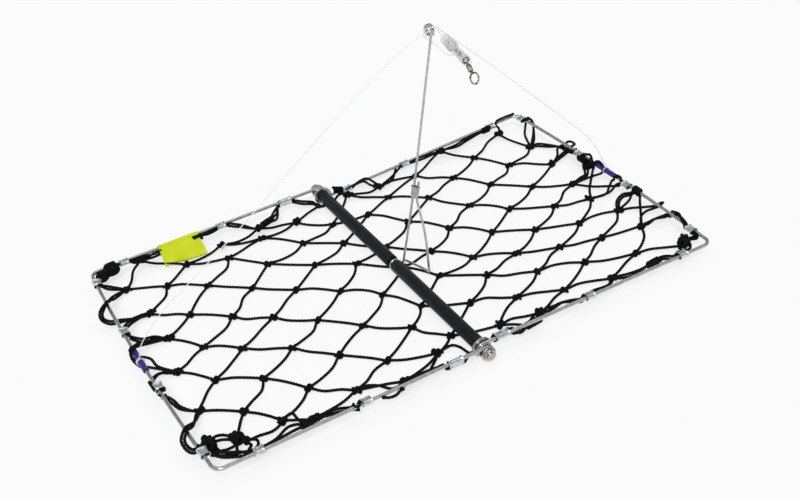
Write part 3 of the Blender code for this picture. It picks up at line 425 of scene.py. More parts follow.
def swept_mesh(
        name, paths, radius=None, section=None, pitch=None, closed=(), sides=12, shares=None):
    """Tubes along several paths as one mesh: round, or of a section that turns with the lay."""
    curve = bpy.data.curves.new(name, "CURVE")
    curve.dimensions = "3D"
    curve.use_fill_caps = True
    if section:
        curve.bevel_mode = "OBJECT"
        curve.bevel_object = section
    else:
        curve.bevel_depth = radius
        curve.bevel_resolution = (sides - 4) // 2
    for index, points in enumerate(paths):
        spline = curve.splines.new("POLY")
        spline.points.add(len(points) - 1)
        spline.use_cyclic_u = index in closed
        turned_by = 0.0
        rate = math.tau / pitch if pitch else 0.0
        if index in closed and pitch:
            whole = path_length([*points, points[0]])
            rate = max(1, round(whole / pitch)) * math.tau / whole
        for i, place in enumerate(points):
            if i:
                turned_by += (place - points[i - 1]).length * rate
            spline.points[i].co = (*place, 1)
            spline.points[i].tilt = turned_by
            spline.points[i].radius = shares[i] if shares else 1
    holder = bpy.data.objects.new(name, curve)
    bpy.context.scene.collection.objects.link(holder)
    bpy.context.view_layer.update()
    shown = holder.evaluated_get(bpy.context.evaluated_depsgraph_get())
    mesh = bpy.data.meshes.new_from_object(shown)
    bpy.data.objects.remove(holder)
    bpy.data.curves.remove(curve)
    return mesh


# Laid cord

STRANDS = 3
CORD_RADIUS = 1.38 * MM
LAY_PITCH = 8.4 * MM
CORD_STEP = 0.9 * MM


def laid_section(name, radius):
    """The outline of a three-strand cord, for sweeping along a path."""
    shares = (1.0, 0.94, 0.76, 0.94) * STRANDS
    curve = bpy.data.curves.new(name, "CURVE")
    spline = curve.splines.new("POLY")
    spline.points.add(len(shares) - 1)
    spline.use_cyclic_u = True
    for point, share, angle in zip(spline.points, shares, evenly(0, math.tau, len(shares))):
        point.co = (*on_circle(radius * share, angle), 0, 1)
    made = bpy.data.objects.new(name, curve)
    bpy.context.scene.collection.objects.link(made)
    return made


CORD_SECTION = laid_section("cord_section", CORD_RADIUS)


def place_cords(name, node, cords, loops=(), **rides):
    """Laid cords, and closed loops of them, as one piece."""
    mesh = swept_mesh(
        name, [*cords, *loops], section=CORD_SECTION, pitch=LAY_PITCH,
        closed=range(len(cords), len(cords) + len(loops)))
    place_piece(name, mesh, "black_net_cord", replaces=[node], smooth=70, **rides)


# Bars of the two frames

def bar_point(side, x, far):
    """A point on a side bar's centre line: side is -1 for left, far is 1 or -1."""
    if side < 0:
        return Vector((x, far * LEFT_BAR_Y, BAR_Z))
    share = abs(x) / HALF_LENGTH
    start_z = LOW_BAR_Z if far > 0 else BAR_Z
    return Vector((
        x, far * (RIGHT_BAR_Y + RIGHT_FLARE * share), start_z + (BAR_Z - start_z) * share))


def end_point(side, y):
    """A point on a bowed end bar's centre line."""
    half = LEFT_BAR_Y if side < 0 else RIGHT_BAR_Y + RIGHT_FLARE
    return Vector((side * (HALF_LENGTH + END_BOW * (1 - (y / half) ** 2)), y, BAR_Z))


def on_bar(side, bar, place):
    if bar == "end":
        return end_point(side, place)
    return bar_point(side, place, 1 if bar == "far" else -1)


def inward_from(side, bar):
    return -side * ALONG_X if bar == "end" else ALONG_Y * (-1 if bar == "far" else 1)


def eye_points(side, far, steps=26):
    """An eye round the axle, from its free end to where the bar leaves it."""
    y = bar_point(side, 0, far).y
    over = -1 if side > 0 and far > 0 else 1
    return [AXLE + Vector((
        -side * EYE_RADIUS * math.sin(angle), y, over * EYE_RADIUS * math.cos(angle)))
        for angle in evenly(EYE_ANGLE, 0, steps)[:-1]]


def frame_path(side):
    """The rod from the near eye round both corners to the far eye."""
    corners = [bar_point(side, side * HALF_LENGTH, far) for far in (-1, 1)]
    bowed = [end_point(side, corners[0].y * share) for share in evenly(0.75, -0.75, 14)]
    near = rounded([bar_point(side, 0, -1), corners[0], bowed[0]], CORNER_RADIUS)
    far = rounded([bowed[-1], corners[1], bar_point(side, 0, 1)], CORNER_RADIUS)
    return [*eye_points(side, -1), *near, *bowed[1:-1], *far, *reversed(eye_points(side, 1))]


# Net: knots measured on the photograph's net, in mm; a third number lifts a knot off the ground

KNOT_ROWS = {
    -7: (7, ((-214, 124), (-210, 76), (-209, 32), (-218, -15), (-221, -71), (-209, -124, 8))),
    -6: (6, ((-192, 147, 12), (-182, 106), (-180, 52), (-187, 2), (-195, -44), (-191, -93))),
    -5: (7, ((-155, 124, 5), (-150, 83), (-150, 26), (-160, -20), (-161, -66), (-170, -120))),
    -4: (6, ((-116, 132, 6), (-117, 112), (-118, 54), (-121, 3), (-125, -45), (-136, -99),
             (-153, -139, 8))),
    -3: (5, ((-77, 131, 9), (-78, 123), (-91, 80), (-87, 27), (-91, -24), (-97, -77),
             (-106, -124))),
    -2: (6, ((-41, 125, 4), (-49, 90), (-56, 51), (-56, 1), (-62, -55), (-68, -107),
             (-72, -143, 8))),
    -1: (7, ((-12, 101), (-18, 66), (-24, 29), (-27, -27), (-30, -82), (-29, -124))),
    0: (6, ((22, 135, 6), (24, 95), (11, 36), (3, -2), (-7, -61), (-9, -111))),
    1: (5, ((56, 128, 6), (55, 110), (49, 60), (41, 4), (27, -33), (28, -83), (31, -124))),
    2: (6, ((97, 128), (87, 84), (75, 26), (67, -28), (62, -58), (65, -101), (65, -135, 7))),
    3: (5, ((136, 142, 11), (126, 100), (111, 47), (103, -5), (102, -47), (101, -81),
            (104, -117))),
    4: (6, ((164, 120), (148, 66), (138, 18), (137, -26), (139, -63), (142, -95),
            (143, -132, 6))),
    5: (5, ((206, 139, 7), (183, 85), (178, 37), (175, -5), (176, -43), (177, -74),
            (186, -112))),
    6: (6, ((220, 99, 4), (218, 59), (212, 16), (210, -16), (217, -48), (218, -81),
            (221, -132, 7))),
}
KNOT_Z = 2.6
MIDDLE_CLEARANCE = 8.4
MIDDLE_CORD_Z = 1.45 * MM


def knot_places():
    """Every knot of the net, keyed by its column and the sum that grows along the column."""
    found = {}
    for column, (first, spots) in KNOT_ROWS.items():
        for i, spot in enumerate(spots):
            x, y, z = spot if len(spot) == 3 else (*spot, KNOT_Z)
            if abs(x) < MIDDLE_CLEARANCE:
                x = math.copysign(MIDDLE_CLEARANCE, x)
            found[column, first + 2 * i] = mm((x, y, z))
    return found


KNOTS = knot_places()

# Cords that hold the net to the bars: "s" is one cord, "d" a pair, "h" a hitch of several turns.
# A pair of numbers is a knot of the net; three are mm along the bar, inwards from it, and up.

HOLDING_CORDS = {
    (-1, "end"): (
        ("d", (132, 1, 13), (130, 9, 8), (125, 19, 5), (-7, 7)),
        ("d", (-7, 7), (112, 10, 8), (94, -1, 17), (88, -8, 14), (82, -9, 11), (76, -4, 9),
         (74, 5, 8), (72, 16, 7), (-7, 9)),
        ("d", (-7, 9), (71, 19, 6), (65, 10, 9), (52, 2, 14)),
        ("d", (44, 1, 14), (42, 5, 10), (37, 13, 7), (37, 23, 5), (-7, 11)),
        ("s", (-7, 11), (31, 21, 7), (31, 12, 10), (22, 3, 17), (21, -2, 14), (15, -4, 10),
         (4, -1, 8), (0, 6, 6), (-7, 13)),
        ("s", (-7, 11), (30, 15, 7), (19, 3, 17), (16, -2, 15), (11, -3, 11), (15, 4, 8),
         (9, 10, 7), (-3, 12, 6), (-7, 13)),
        ("d", (-7, 13), (-14, 11, 7), (-20, 3, 10), (-30, -2, 13), (-39, 0, 14)),
        ("d", (-48, 0, 14), (-56, 5, 10), (-63, 8, 7), (-69, 14, 5), (-7, 15)),
        ("d", (-7, 15), (-88, 10, 8), (-101, 0, 17), (-107, -6, 14), (-112, -6, 10),
         (-121, -4, 12), (-127, -1, 14)),
    ),
    (-1, "near"): (
        ("s", (-195, 1, 14), (-184, 10, 9), (-172, 17, 8), (-164, 17, 7), (-160, 12, 8)),
        ("s", (-193, 1, 14), (-180, 6, 12), (-169, 9, 10), (-160, 10, 9)),
        ("s", (-5, 17), (-161, 34, 4), (-160, 24, 5), (-160, 13, 8)),
        ("h", (-161, 11, 9), (-147, 13, 9)),
        ("d", (-147, 13, 8), (-139, 12, 8), (-131, 11, 8), (-125, 6, 10), (-119, -1, 14),
         (-112, -2, 14)),
        ("s", (-98, -2, 14), (-92, -3, 11), (-85, -2, 10), (-80, -1, 14), (-73, 8, 9)),
        ("s", (-3, 17), (-99, 28, 4), (-90, 21, 5), (-84, 8, 8), (-74, 7, 9)),
        ("h", (-76, 7, 9), (-69, 8, 9)),
        ("d", (-69, 8, 9), (-60, 6, 10), (-51, 5, 11), (-39, 2, 13), (-32, -1, 14)),
        ("s", (-1, 17), (-39, 18, 6), (-49, 7, 10), (-50, 2, 12)),
        ("d", (-21, 2, 11), (-16, 4, 10), (-12, 8, 6)),
        ("s", (-1, 17), (-23, 29, 4), (-16, 28, 5), (-12, 22, 5), (-10, 15, 4)),
    ),
    (1, "near"): (
        ("d", (12, 7, 9), (14, 4, 9), (16, 3, 12), (20, 3, 14)),
        ("d", (27, -6, 14), (34, -2, 12), (42, 1, 10), (48, 2, 9)),
        ("s", (1, 17), (37, 19, 4), (43, 13, 5), (45, 3, 9)),
        ("h", (44, 2, 10), (58, 5, 9)),
        ("s", (45, 1, 10), (54, 10, 8), (64, 16, 6), (2, 18)),
        ("d", (2, 18), (79, 14, 6), (87, 13, 8), (94, 9, 9), (100, 3, 11), (104, -2, 14)),
        ("d", (113, -2, 14), (128, 8, 8), (139, 14, 5), (4, 18)),
        ("d", (4, 18), (156, 13, 6), (166, 10, 8), (177, 11, 9), (182, 11, 10), (193, 10, 11),
         (199, 4, 12), (202, 2, 14)),
        ("h", (178, 11, 9), (188, 11, 10)),
    ),
    (1, "end"): (
        ("d", (-121, 0, 14), (-118, 2, 16), (-113, 1, 17), (-104, -2, 17), (-95, -1, 14),
         (-90, 3, 10), (-86, 11, 8), (-84, 17, 5), (6, 16)),
        ("s", (6, 16), (-72, 16, 5), (-70, 8, 7), (-74, 1, 10), (-80, -3, 17), (-72, -6, 11),
         (-69, -3, 8), (-62, 5, 6), (-55, 14, 5), (6, 14)),
        ("s", (6, 6), (106, 11, 4), (113, 5, 6), (124, -2, 11), (128, -3, 15), (133, -2, 17),
         (135, -1, 11), (130, 4, 7), (122, 10, 4), (6, 6)),
        ("d", (6, 6), (98, 12, 4), (89, 6, 5), (75, 1, 8), (60, 2, 11), (51, 2, 14)),
        ("s", (136, -2, 15), (130, -3, 16), (124, -2, 13), (116, 4, 7), (6, 6)),
        ("d", (6, 14), (-40, 18, 6), (-37, 10, 8), (-42, 6, 11), (-45, 1, 14)),
        ("s", (6, 14), (-45, 9, 6), (-43, 4, 10), (-47, 1, 14)),
        ("s", (6, 16), (-71, 15, 4), (-53, 2, 6), (-48, -2, 10), (-45, -3, 14)),
        ("h", (-43, 0.5, 14), (-50, 0.5, 14)),
        ("s", (-25, -2, 15), (-20, 0, 17), (-12, 2, 11), (-15, 9, 7), (-21, 18, 5), (6, 12)),
        ("s", (-24, -2, 14), (-20, 4, 10), (-22, 15, 6), (6, 12)),
        ("s", (-24, -2, 12), (-22, 3, 9), (-14, 9, 7), (-2, 20, 5), (6, 10)),
        ("s", (6, 10), (13, 17, 5), (10, 9, 7), (6, 1, 10), (8, 0, 17), (14, -1, 17), (17, 2, 14),
         (17, 3, 10)),
        ("s", (6, 10), (18, 19, 5), (18, 13, 6), (24, 9, 8), (24, 7, 10)),
        ("s", (6, 10), (16, 19, 5), (16, 12, 6), (22, 6, 10)),
        ("h", (26, 8, 9), (22, 3, 11)),
        ("s", (21, 3, 12), (21, 2, 17), (32, -3, 17), (37, -3, 14)),
        ("s", (6, 12), (-5, 25, 5), (12, 9, 8), (18, 3, 12), (26, 0, 14)),
        ("h", (28, 4, 13), (38, 4, 13)),
        ("d", (50, -2, 14), (61, -1, 10), (62, 9, 6), (6, 8)),
        ("s", (53, -1, 14), (64, 1, 9), (60, 14, 5), (6, 8)),
        ("s", (6, 8), (66, 11, 5), (72, 6, 9), (71, 0, 12), (65, -4, 17), (57, -4, 17),
         (63, 0, 12)),
    ),
    (1, "far"): (
        ("s", (234, 1, 17), (221, 1, 17), (212, 1, 16), (207, 2, 14)),
        ("s", (212, 3, 13), (212, 5, 8), (5, 5)),
        ("h", (200, 3, 12), (193, 3, 12)),
        ("d", (196, 3, 13), (185, 3, 11), (170, 3, 9), (157, 5, 8), (3, 5)),
        ("d", (3, 5), (125, 3, 8), (111, 4, 9), (99, 3, 9)),
        ("s", (89, 3, 8), (74, 12, 6), (1, 5)),
        ("s", (84, 4, 8), (72, 16, 5), (1, 5)),
        ("s", (1, 5), (50, 12, 6), (45, 5, 9), (35, 4, 8), (25, 3, 6)),
        ("s", (1, 5), (55, 7, 6), (50, 2, 9), (40, 3, 9), (31, 4, 8)),
        ("h", (21, 3, 8), (13.5, 3, 11)),
        ("s", (0, 6), (20, 8, 6), (14, 8, 6)),
    ),
    (-1, "far"): (
        ("d", (-205, 3, 13), (-197, 4, 12), (-6, 6)),
        ("d", (-203, 3, 14), (-193, 3, 13), (-182, 3, 12), (-169, 3, 13)),
        ("s", (-6, 6), (-179, 5, 10), (-169, 4, 10)),
        ("h", (-136, 3, 12), (-129, 3, 12)),
        ("d", (-132, 4, 14), (-122, 4, 13), (-114, 4, 14)),
        ("d", (-102, 6, 14), (-89, 7, 9), (-81, 12, 6), (-3, 5)),
        ("h", (-71, 16, 7), (-58, 14, 9)),
        ("s", (-61, 14, 9), (-55, 10, 12), (-45, 6, 15)),
        ("s", (-60, 15, 9), (-53, 14, 13), (-44, 6, 16)),
        ("s", (-64, 15, 7), (-55, 17, 9), (-44, 12, 11)),
        ("d", (-32, 4, 12), (-23, 8, 10), (-14, 12, 8), (-12, 18, 8)),
        ("s", (-2, 6), (-32, 23, 3), (-23, 20, 4), (-14, 17, 4), (-9, 16, 4)),
    ),
}


# Turned and pressed shapes

def facing(origin, axis, side):
    """The matrix that turns local Z to the axis and local X to the side."""
    axis = axis.normalized()
    side = (side - axis * side.dot(axis)).normalized()
    turn = Matrix((side, axis.cross(side), axis)).transposed()
    return Matrix.Translation(origin) @ turn.to_4x4()


def turned(profile, segments, place, closed=True):
    """Spins (radius, height) points about local Z; an open profile starts and ends on the axis."""
    bm = bmesh.new()
    ring = [bm.verts.new((radius, 0, height)) for radius, height in profile]
    edges = [bm.edges.new(pair) for pair in zip(ring, ring[1:])]
    if closed:
        edges.append(bm.edges.new((ring[-1], ring[0])))
    bmesh.ops.spin(
        bm, geom=ring + edges, cent=(0, 0, 0), axis=(0, 0, 1),
        angle=math.tau, steps=segments, use_merge=True, use_duplicate=False)
    bmesh.ops.remove_doubles(bm, verts=bm.verts, dist=SAME_PLACE)
    bm.transform(place)
    return bm


def turned_piece(name, profile, segments, place, slot, body, node, closed=True, smooth=40):
    """A turned shape, put in the scene in its node's place."""
    mesh = finished_mesh(name, turned(profile, segments, place, closed))
    return place_piece(name, mesh, slot, body, replaces=[node], smooth=smooth)


def softened(profile, radius, steps=3):
    """A closed (radius, height) profile with each corner rounded."""
    most_of_edge = 0.45
    points = [Vector((out, along, 0)) for out, along in profile]
    found = []
    for before, corner, after in zip([points[-1], *points[:-1]], points, [*points[1:], points[0]]):
        room = min((before - corner).length, (after - corner).length) * most_of_edge
        cut = min(radius, room)
        start = corner + (before - corner).normalized() * cut
        end = corner + (after - corner).normalized() * cut
        for t in evenly(0, 1, steps):
            spot = start * (1 - t) ** 2 + corner * 2 * t * (1 - t) + end * t ** 2
            found.append((spot.x, spot.y))
    return found


def ring_profile(inner, outer, start, end):
    return [(inner, start), (outer, start), (outer, end), (inner, end)]


def merged(name, *shapes):
    """One finished mesh from several bmeshes and meshes, none of which is kept."""
    whole = bmesh.new()
    for shape in shapes:
        part = finished_mesh(name, shape) if isinstance(shape, bmesh.types.BMesh) else shape
        whole.from_mesh(part)
        bpy.data.meshes.remove(part)
    return finished_mesh(name, whole)


def drawn_out(bm, line, closed, count):
    """The row of points and further rows drawn out of it, joined to it by faces."""
    ends = line[1:] + (line[:1] if closed else [])
    edges = [bm.edges.new(pair) for pair in zip(line, ends)]
    rows = [line]
    for _ in range(count):
        drawn = bmesh.ops.extrude_edge_only(bm, edges=edges)["geom"]
        edges = [item for item in drawn if isinstance(item, bmesh.types.BMEdge)
                 and all(end in drawn for end in item.verts)]
        rows.append([item for item in drawn if isinstance(item, bmesh.types.BMVert)])
    return rows


def wire_mesh(name, points, radius, sides=16):
    """A drawn wire whose cut ends are a little rounded."""
    rounding, end_share = radius * 0.3, 0.68
    first = (points[1] - points[0]).normalized() * rounding
    last = (points[-2] - points[-1]).normalized() * rounding
    points = [points[0], points[0] + first, *points[1:-1], points[-1] + last, points[-1]]
    shares = [end_share] + [1.0] * (len(points) - 2) + [end_share]
    return swept_mesh(name, [points], radius=radius, sides=sides, shares=shares)


# Bait arm's places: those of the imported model, but for the shaft's top, the ring's axis and
# pitch, and how far the loose leg's tip stands above its sleeve

ARM_RADIUS = 1.05 * MM
RING_RADIUS = 4.2 * MM
RING_TURNS = 1.9
WRAP_RADIUS = BOLT_RADIUS + GAP + ARM_RADIUS
WIRE_PITCH = 2 * ARM_RADIUS + GAP
RING_PITCH = 2.15 * MM
WRAP_START, WRAP_END = math.radians(60), math.radians(370)
WRAP_NEAR_Y = -MIDDLE_GAP / 2 + 1.75 * ARM_RADIUS
HINGE_RISE = 3.2 * MM
CLIP_SLEEVE_LENGTH = 10.0 * MM
CLIP_SLEEVE_WALL = 0.7 * MM
CLIP_SLEEVE_PINCH = 0.55 * MM
LEG_SPACING = 3.9 * MM
LEG_TIP_RISE = 5.5 * MM
CLIP_BOW = 2.2 * MM
CLIP_FOOT = Vector((19.2 * MM, -30.4 * MM, AXLE_Z + 2 * GAP))
SLEEVE_FOOT = mm((22.2, -8.3, 77.0))
SHAFT_TOP = mm((50.3, -16.2, 226.4))
SHAFT_WAY = (SHAFT_TOP - SLEEVE_FOOT).normalized()
RING_AXIS = Vector((0.944, 0.281, -0.163))
RING_AXIS = (RING_AXIS - SHAFT_WAY * RING_AXIS.dot(SHAFT_WAY)).normalized()
RING_SIDE = RING_AXIS.cross(SHAFT_WAY)
RING_CENTRE = SHAFT_TOP - RING_SIDE * RING_RADIUS
RING_MIDDLE = RING_CENTRE + RING_AXIS * RING_PITCH * RING_TURNS / 2


# Lines and the chain of pieces that hangs on them

CHAIN_START = mm((64.0, -12.0, 215.5))
CHAIN_WAY = (mm((82.5, -12.0, 190.0)) - CHAIN_START).normalized()
SWIVEL_WAY = Vector((0.36, 0, -0.933)).normalized()
BEAD_AT = 11.4 * MM
BEAD_RADIUS = 4.3 * MM
BEAD_SLEEVE_END = 17.0 * MM
CRIMP_START = 17.6 * MM
SWIVEL_SLEEVE_START = 19.2 * MM
CRIMP_END = 24.6 * MM
CRIMP_RADIUS = 1.8 * MM
UPPER_EYE_AT = 32.4 * MM
EYE_WIRE_RADIUS = 0.6 * MM
SHOWN_EYE_WIRE = 0.85 * MM
SWIVEL_EYE_RADIUS = 2.5 * MM
LINE_TURNS = 1.25
LINE_TURN_PITCH = 1.5 * MM
LINE_STEP = 3 * MM


def chain_point(along, out=0.0, turn=0.0):
    return (CHAIN_START + CHAIN_WAY * along
            + swung(ALONG_Y.cross(CHAIN_WAY), ALONG_Y, turn) * out)


def by_ring(along, up=0.0, aside=0.0):
    """A place by the guide ring's middle: mm along its axis, up the shaft's way and aside."""
    return RING_MIDDLE + (RING_AXIS * along + SHAFT_WAY * up + RING_SIDE * aside) * MM


def line_wrap(side):
    """The line's turns round the blue sleeve, ending on top of it."""
    centre = end_point(side, SLEEVE_Y)
    radius = SLEEVE_RADIUS + GAP + LINE_RADIUS
    return [centre + ALONG_Y * LINE_TURN_PITCH * turn
            + swung(UP, -side * ALONG_X, math.tau * turn) * radius
            for turn in evenly(-LINE_TURNS, 0, 30)]


def left_line_route():
    way = [mm(place) for place in (
        (-235.5, 5.7, 28.8), (-214.0, 4.3, 51.0), (-186.0, 2.6, 70.0), (-132.5, -0.7, 106.5),
        (-74.6, -4.3, 149.5), (-21.0, -7.6, 187.5), (20.0, -10.6, 214.0))]
    return [
        *way, by_ring(-4, -0.9, 1), by_ring(4.5, -0.9), mm((57.5, -12.4, 224.6)),
        chain_point(-1 * MM), chain_point(CRIMP_START - GAP)]


def right_line_route():
    way = [mm(place) for place in (
        (239.0, 1.8, 24.0), (225.0, 0.8, 51.0), (206.5, -0.6, 74.0), (151.3, -4.6, 132.0),
        (99.4, -3.0, 186.0), (72.0, -3.0, 213.0), (61.0, -8.0, 223.5))]
    between_sleeves = (BEAD_SLEEVE_END + SWIVEL_SLEEVE_START) / 2
    return [
        *way, by_ring(5, 1.2, -0.9), by_ring(-3.6, 1.2, -0.9), by_ring(-4.6, -4.2, -1.6),
        by_ring(-0.8, -7.4, -1.8), chain_point(-3 * MM, 9.0 * MM), chain_point(4 * MM, 8.4 * MM),
        chain_point(12 * MM, 8.0 * MM), chain_point(between_sleeves - 0.9 * MM, 6.2 * MM),
        chain_point(between_sleeves, 4.2 * MM),
        chain_point(SWIVEL_SLEEVE_START, CRIMP_RADIUS + LINE_RADIUS + GAP)]


def make_line(word, side, route):
    """A clear line from its turns on the end bar up to the crimp, as one measured cord."""
    wrap = line_wrap(side)
    points = wrap[:-1] + smooth_path([wrap[-1], *route], LINE_STEP)
    mesh = swept_mesh(f"{word}_line", [points], radius=LINE_RADIUS, sides=8)
    bar = end_point(side, SLEEVE_Y)
    made = place_piece(
        f"{word}_clear_line", mesh, "clear_line", replaces=[f"line_{word}"],
        blend=(f"{word}_frame", "axle_unit", tuple(bar * 0.96), tuple(RING_CENTRE)))
    round(path_length(points), 3)


make_line("left", -1, left_line_route())
make_line("right", 1, right_line_route())


# Frames, axle, washers and tubes

def make_rod(word, side):
    mesh = wire_mesh(f"{word}_rod", frame_path(side), ROD_RADIUS, sides=20)
    place_piece(
        f"{word}_bent_rod", mesh, "stainless_wire", f"{word}_frame", replaces=[f"{word}_rod"])


def hexagon_block(inside, start, end, width, chamfer, place):
    """A hexagonal bar with a round hole or none, its corners turned off at both ends."""
    sixth, face_share = math.radians(60), 0.97
    corner_radius = width / 2 / math.cos(sixth / 2)
    face_radius = width / 2 * face_share
    profile = [
        (inside, start), (face_radius, start), (corner_radius, start + chamfer),
        (corner_radius, end - chamfer), (face_radius, end), (inside, end)]
    bm = turned(profile, 48, Matrix(), closed=inside > 0)
    for vert in bm.verts:
        angle = math.atan2(vert.co.y, vert.co.x)
        flat = width / 2 / math.cos((angle % sixth) - sixth / 2)
        if math.hypot(vert.co.x, vert.co.y) > flat:
            vert.co.x, vert.co.y = flat * math.cos(angle), flat * math.sin(angle)
    bm.transform(place)
    return bm


BOLT_HEAD_HEIGHT = 4.0 * MM
BOLT_HEXAGON_HEIGHT = 2.3 * MM
BOLT_BOSS_RADIUS = 3.7 * MM
BOLT_OVERHANG = 2.2 * MM
NUT_HEIGHT = 5.0 * MM
NUT_WIDTH = 10.0 * MM
THREAD_LENGTH = 12 * MM
THREAD_PITCH = 1.0 * MM
THREAD_DEPTH = 0.45 * MM


def bolt_shank(place):
    """The bolt's shank, from its head to the end of the threads past the nut."""
    point_cut, first_root = 0.7 * MM, 0.3 * MM
    tip = -2 * NUT_Y - NUT_HEIGHT - BOLT_OVERHANG
    thread_start = tip + THREAD_LENGTH
    thread = [(0, tip), (BOLT_RADIUS - point_cut, tip)]
    along = tip + first_root
    while along < thread_start:
        thread += [(BOLT_RADIUS - THREAD_DEPTH, along), (BOLT_RADIUS, along + THREAD_PITCH / 2)]
        along += THREAD_PITCH
    plain = [(BOLT_RADIUS, thread_start + THREAD_PITCH), (BOLT_RADIUS, 0), (0, 0)]
    return turned([*thread, *plain], 28, place, closed=False)


def make_bolt():
    """The bolt: a hexagon head with a round boss at the near end, a shank and threads."""
    place = facing(Vector((0, -NUT_Y, AXLE_Z)), -ALONG_Y, -UP)
    head = hexagon_block(0, 0, BOLT_HEXAGON_HEIGHT, NUT_WIDTH, 0.6 * MM, place)
    edge, foot = 0.5 * MM, BOLT_HEXAGON_HEIGHT - 0.1 * MM
    boss = turned([
        (0, foot), (BOLT_BOSS_RADIUS, foot), (BOLT_BOSS_RADIUS, BOLT_HEAD_HEIGHT - edge),
        (BOLT_BOSS_RADIUS - edge, BOLT_HEAD_HEIGHT), (0, BOLT_HEAD_HEIGHT)],
        40, place, closed=False)
    place_piece("threaded_bolt", merged("bolt", bolt_shank(place), head, boss),
                "plated_fastener", "axle_unit", replaces=["axle_bolt"], smooth=32)


def make_nut():
    place = facing(Vector((0, NUT_Y, AXLE_Z)), ALONG_Y, -UP)
    shape = hexagon_block(BOLT_RADIUS, 0, NUT_HEIGHT, NUT_WIDTH, 0.8 * MM, place)
    place_piece("chamfered_nut", finished_mesh("nut", shape), "plated_fastener", "axle_unit",
                replaces=["axle_nut"], smooth=32)


def make_washers(end, place):
    """The three washers of one end; the inner one is so large that it stands on the ground."""
    small, large = 6.6 * MM, AXLE_Z
    for spot, start, radius in (
        ("inner", TUBE_END_Y + GAP, large),
        ("middle", RIGHT_BAR_Y + ROD_RADIUS + GAP, small),
        ("outer", LEFT_BAR_Y + ROD_RADIUS + GAP, small),
    ):
        profile = ring_profile(BOLT_RADIUS + GAP, radius, start, start + WASHER_THICKNESS)
        turned_piece(
            f"{end}_{spot}_flat_washer", softened(profile, 0.35 * MM), 48, place,
            "plated_fastener", "axle_unit", f"washer_{end}_{spot}")


def make_tube(end, place):
    profile = ring_profile(TUBE_BORE, TUBE_RADIUS, MIDDLE_GAP / 2, TUBE_END_Y)
    turned_piece(
        f"{end}_slate_tube", softened(profile, 0.5 * MM), 48, place, "slate_tube", "axle_unit",
        f"tube_{end}")


# Bait arm, its guide ring, and the clip's loose leg

def between(start, end, shares):
    """The place at a share of its own in each direction."""
    return Vector([a + (b - a) * share for a, b, share in zip(start, end, shares)])


def arm_wrap():
    """The wire's turn round the axle."""
    return [AXLE + swung(ALONG_X, -UP, angle) * WRAP_RADIUS
            + ALONG_Y * (WRAP_NEAR_Y + WIRE_PITCH * (angle - WRAP_START) / math.tau)
            for angle in evenly(WRAP_START, WRAP_END, 44)]


def guide_ring():
    """The turns at the shaft's top that guide the lines."""
    return [RING_CENTRE + swung(RING_SIDE, SHAFT_WAY, math.tau * turn) * RING_RADIUS
            + RING_AXIS * RING_PITCH * turn for turn in evenly(0, RING_TURNS, 84)[1:]]


def arm_route():
    """The wire from the guide ring's free end down to the clip's foot."""
    wrap = arm_wrap()
    start, end = wrap[0], wrap[-1]
    sleeve_top = SLEEVE_FOOT + SHAFT_WAY * CLIP_SLEEVE_LENGTH
    shaft = [SHAFT_TOP, SHAFT_TOP.lerp(sleeve_top, 0.5), sleeve_top, SLEEVE_FOOT]
    tube_side = AXLE + Vector((TUBE_RADIUS + 2 * ARM_RADIUS, WRAP_NEAR_Y - ARM_RADIUS, GAP))
    below = AXLE + Vector((TUBE_RADIUS, WRAP_NEAR_Y, -WRAP_RADIUS))
    down = smooth_path([
        SLEEVE_FOOT, between(SLEEVE_FOOT, tube_side, (0.54, 0.32, 0.5)),
        between(SLEEVE_FOOT, tube_side, (0.88, 0.8, 0.86)), tube_side, below, start], 1.5 * MM)
    away = smooth_path([
        end, between(end, CLIP_FOOT, (0.36, 0.04, 0.75)),
        between(end, CLIP_FOOT, (0.52, 0.2, 0.9)), between(end, CLIP_FOOT, (0.88, 0.8, 1)),
        CLIP_FOOT, CLIP_FOOT + UP * HINGE_RISE], 1 * MM)
    return [*reversed(guide_ring()), *shaft, *down[1:], *wrap[1:], *away[1:]]


def clip_side():
    """The level way from the axle to the clip's foot, square to the shaft."""
    way = CLIP_FOOT - AXLE
    way = Vector((way.x, way.y, 0)).normalized()
    return (way - SHAFT_WAY * way.dot(SHAFT_WAY)).normalized()


def make_arm():
    mesh = wire_mesh("arm", arm_route(), ARM_RADIUS, sides=16)
    place_piece("bent_arm_wire", mesh, "stainless_wire", "axle_unit", replaces=["arm_wire"])


def make_clip_leg():
    """The loose leg. Its foot is a hair thinner than the arm's wire, and bends on from it."""
    foot = CLIP_FOOT + UP * (HINGE_RISE + GAP + ARM_RADIUS)
    side = clip_side()
    below_sleeve, hidden_foot, bend = 2 * MM, 2.4 * MM, 6 * MM
    beside = SLEEVE_FOOT + side * LEG_SPACING - SHAFT_WAY * below_sleeve
    tip = beside + SHAFT_WAY * (CLIP_SLEEVE_LENGTH + below_sleeve + LEG_TIP_RISE)
    path = smooth_path([foot, foot.lerp(beside, 0.5) + side * CLIP_BOW, beside], 3 * MM)
    path = [foot - UP * hidden_foot, *path[:-1], *rounded([path[-2], beside, tip], bend)[1:]]
    mesh = wire_mesh("leg", path, ARM_RADIUS * 0.995, sides=16)
    place_piece(
        "springing_clip_leg", mesh, "stainless_wire", replaces=["clip_leg"],
        blend=("axle_unit", "bait_clip", tuple(foot - UP * 2.2 * MM), tuple(foot + UP * 1.5 * MM)))


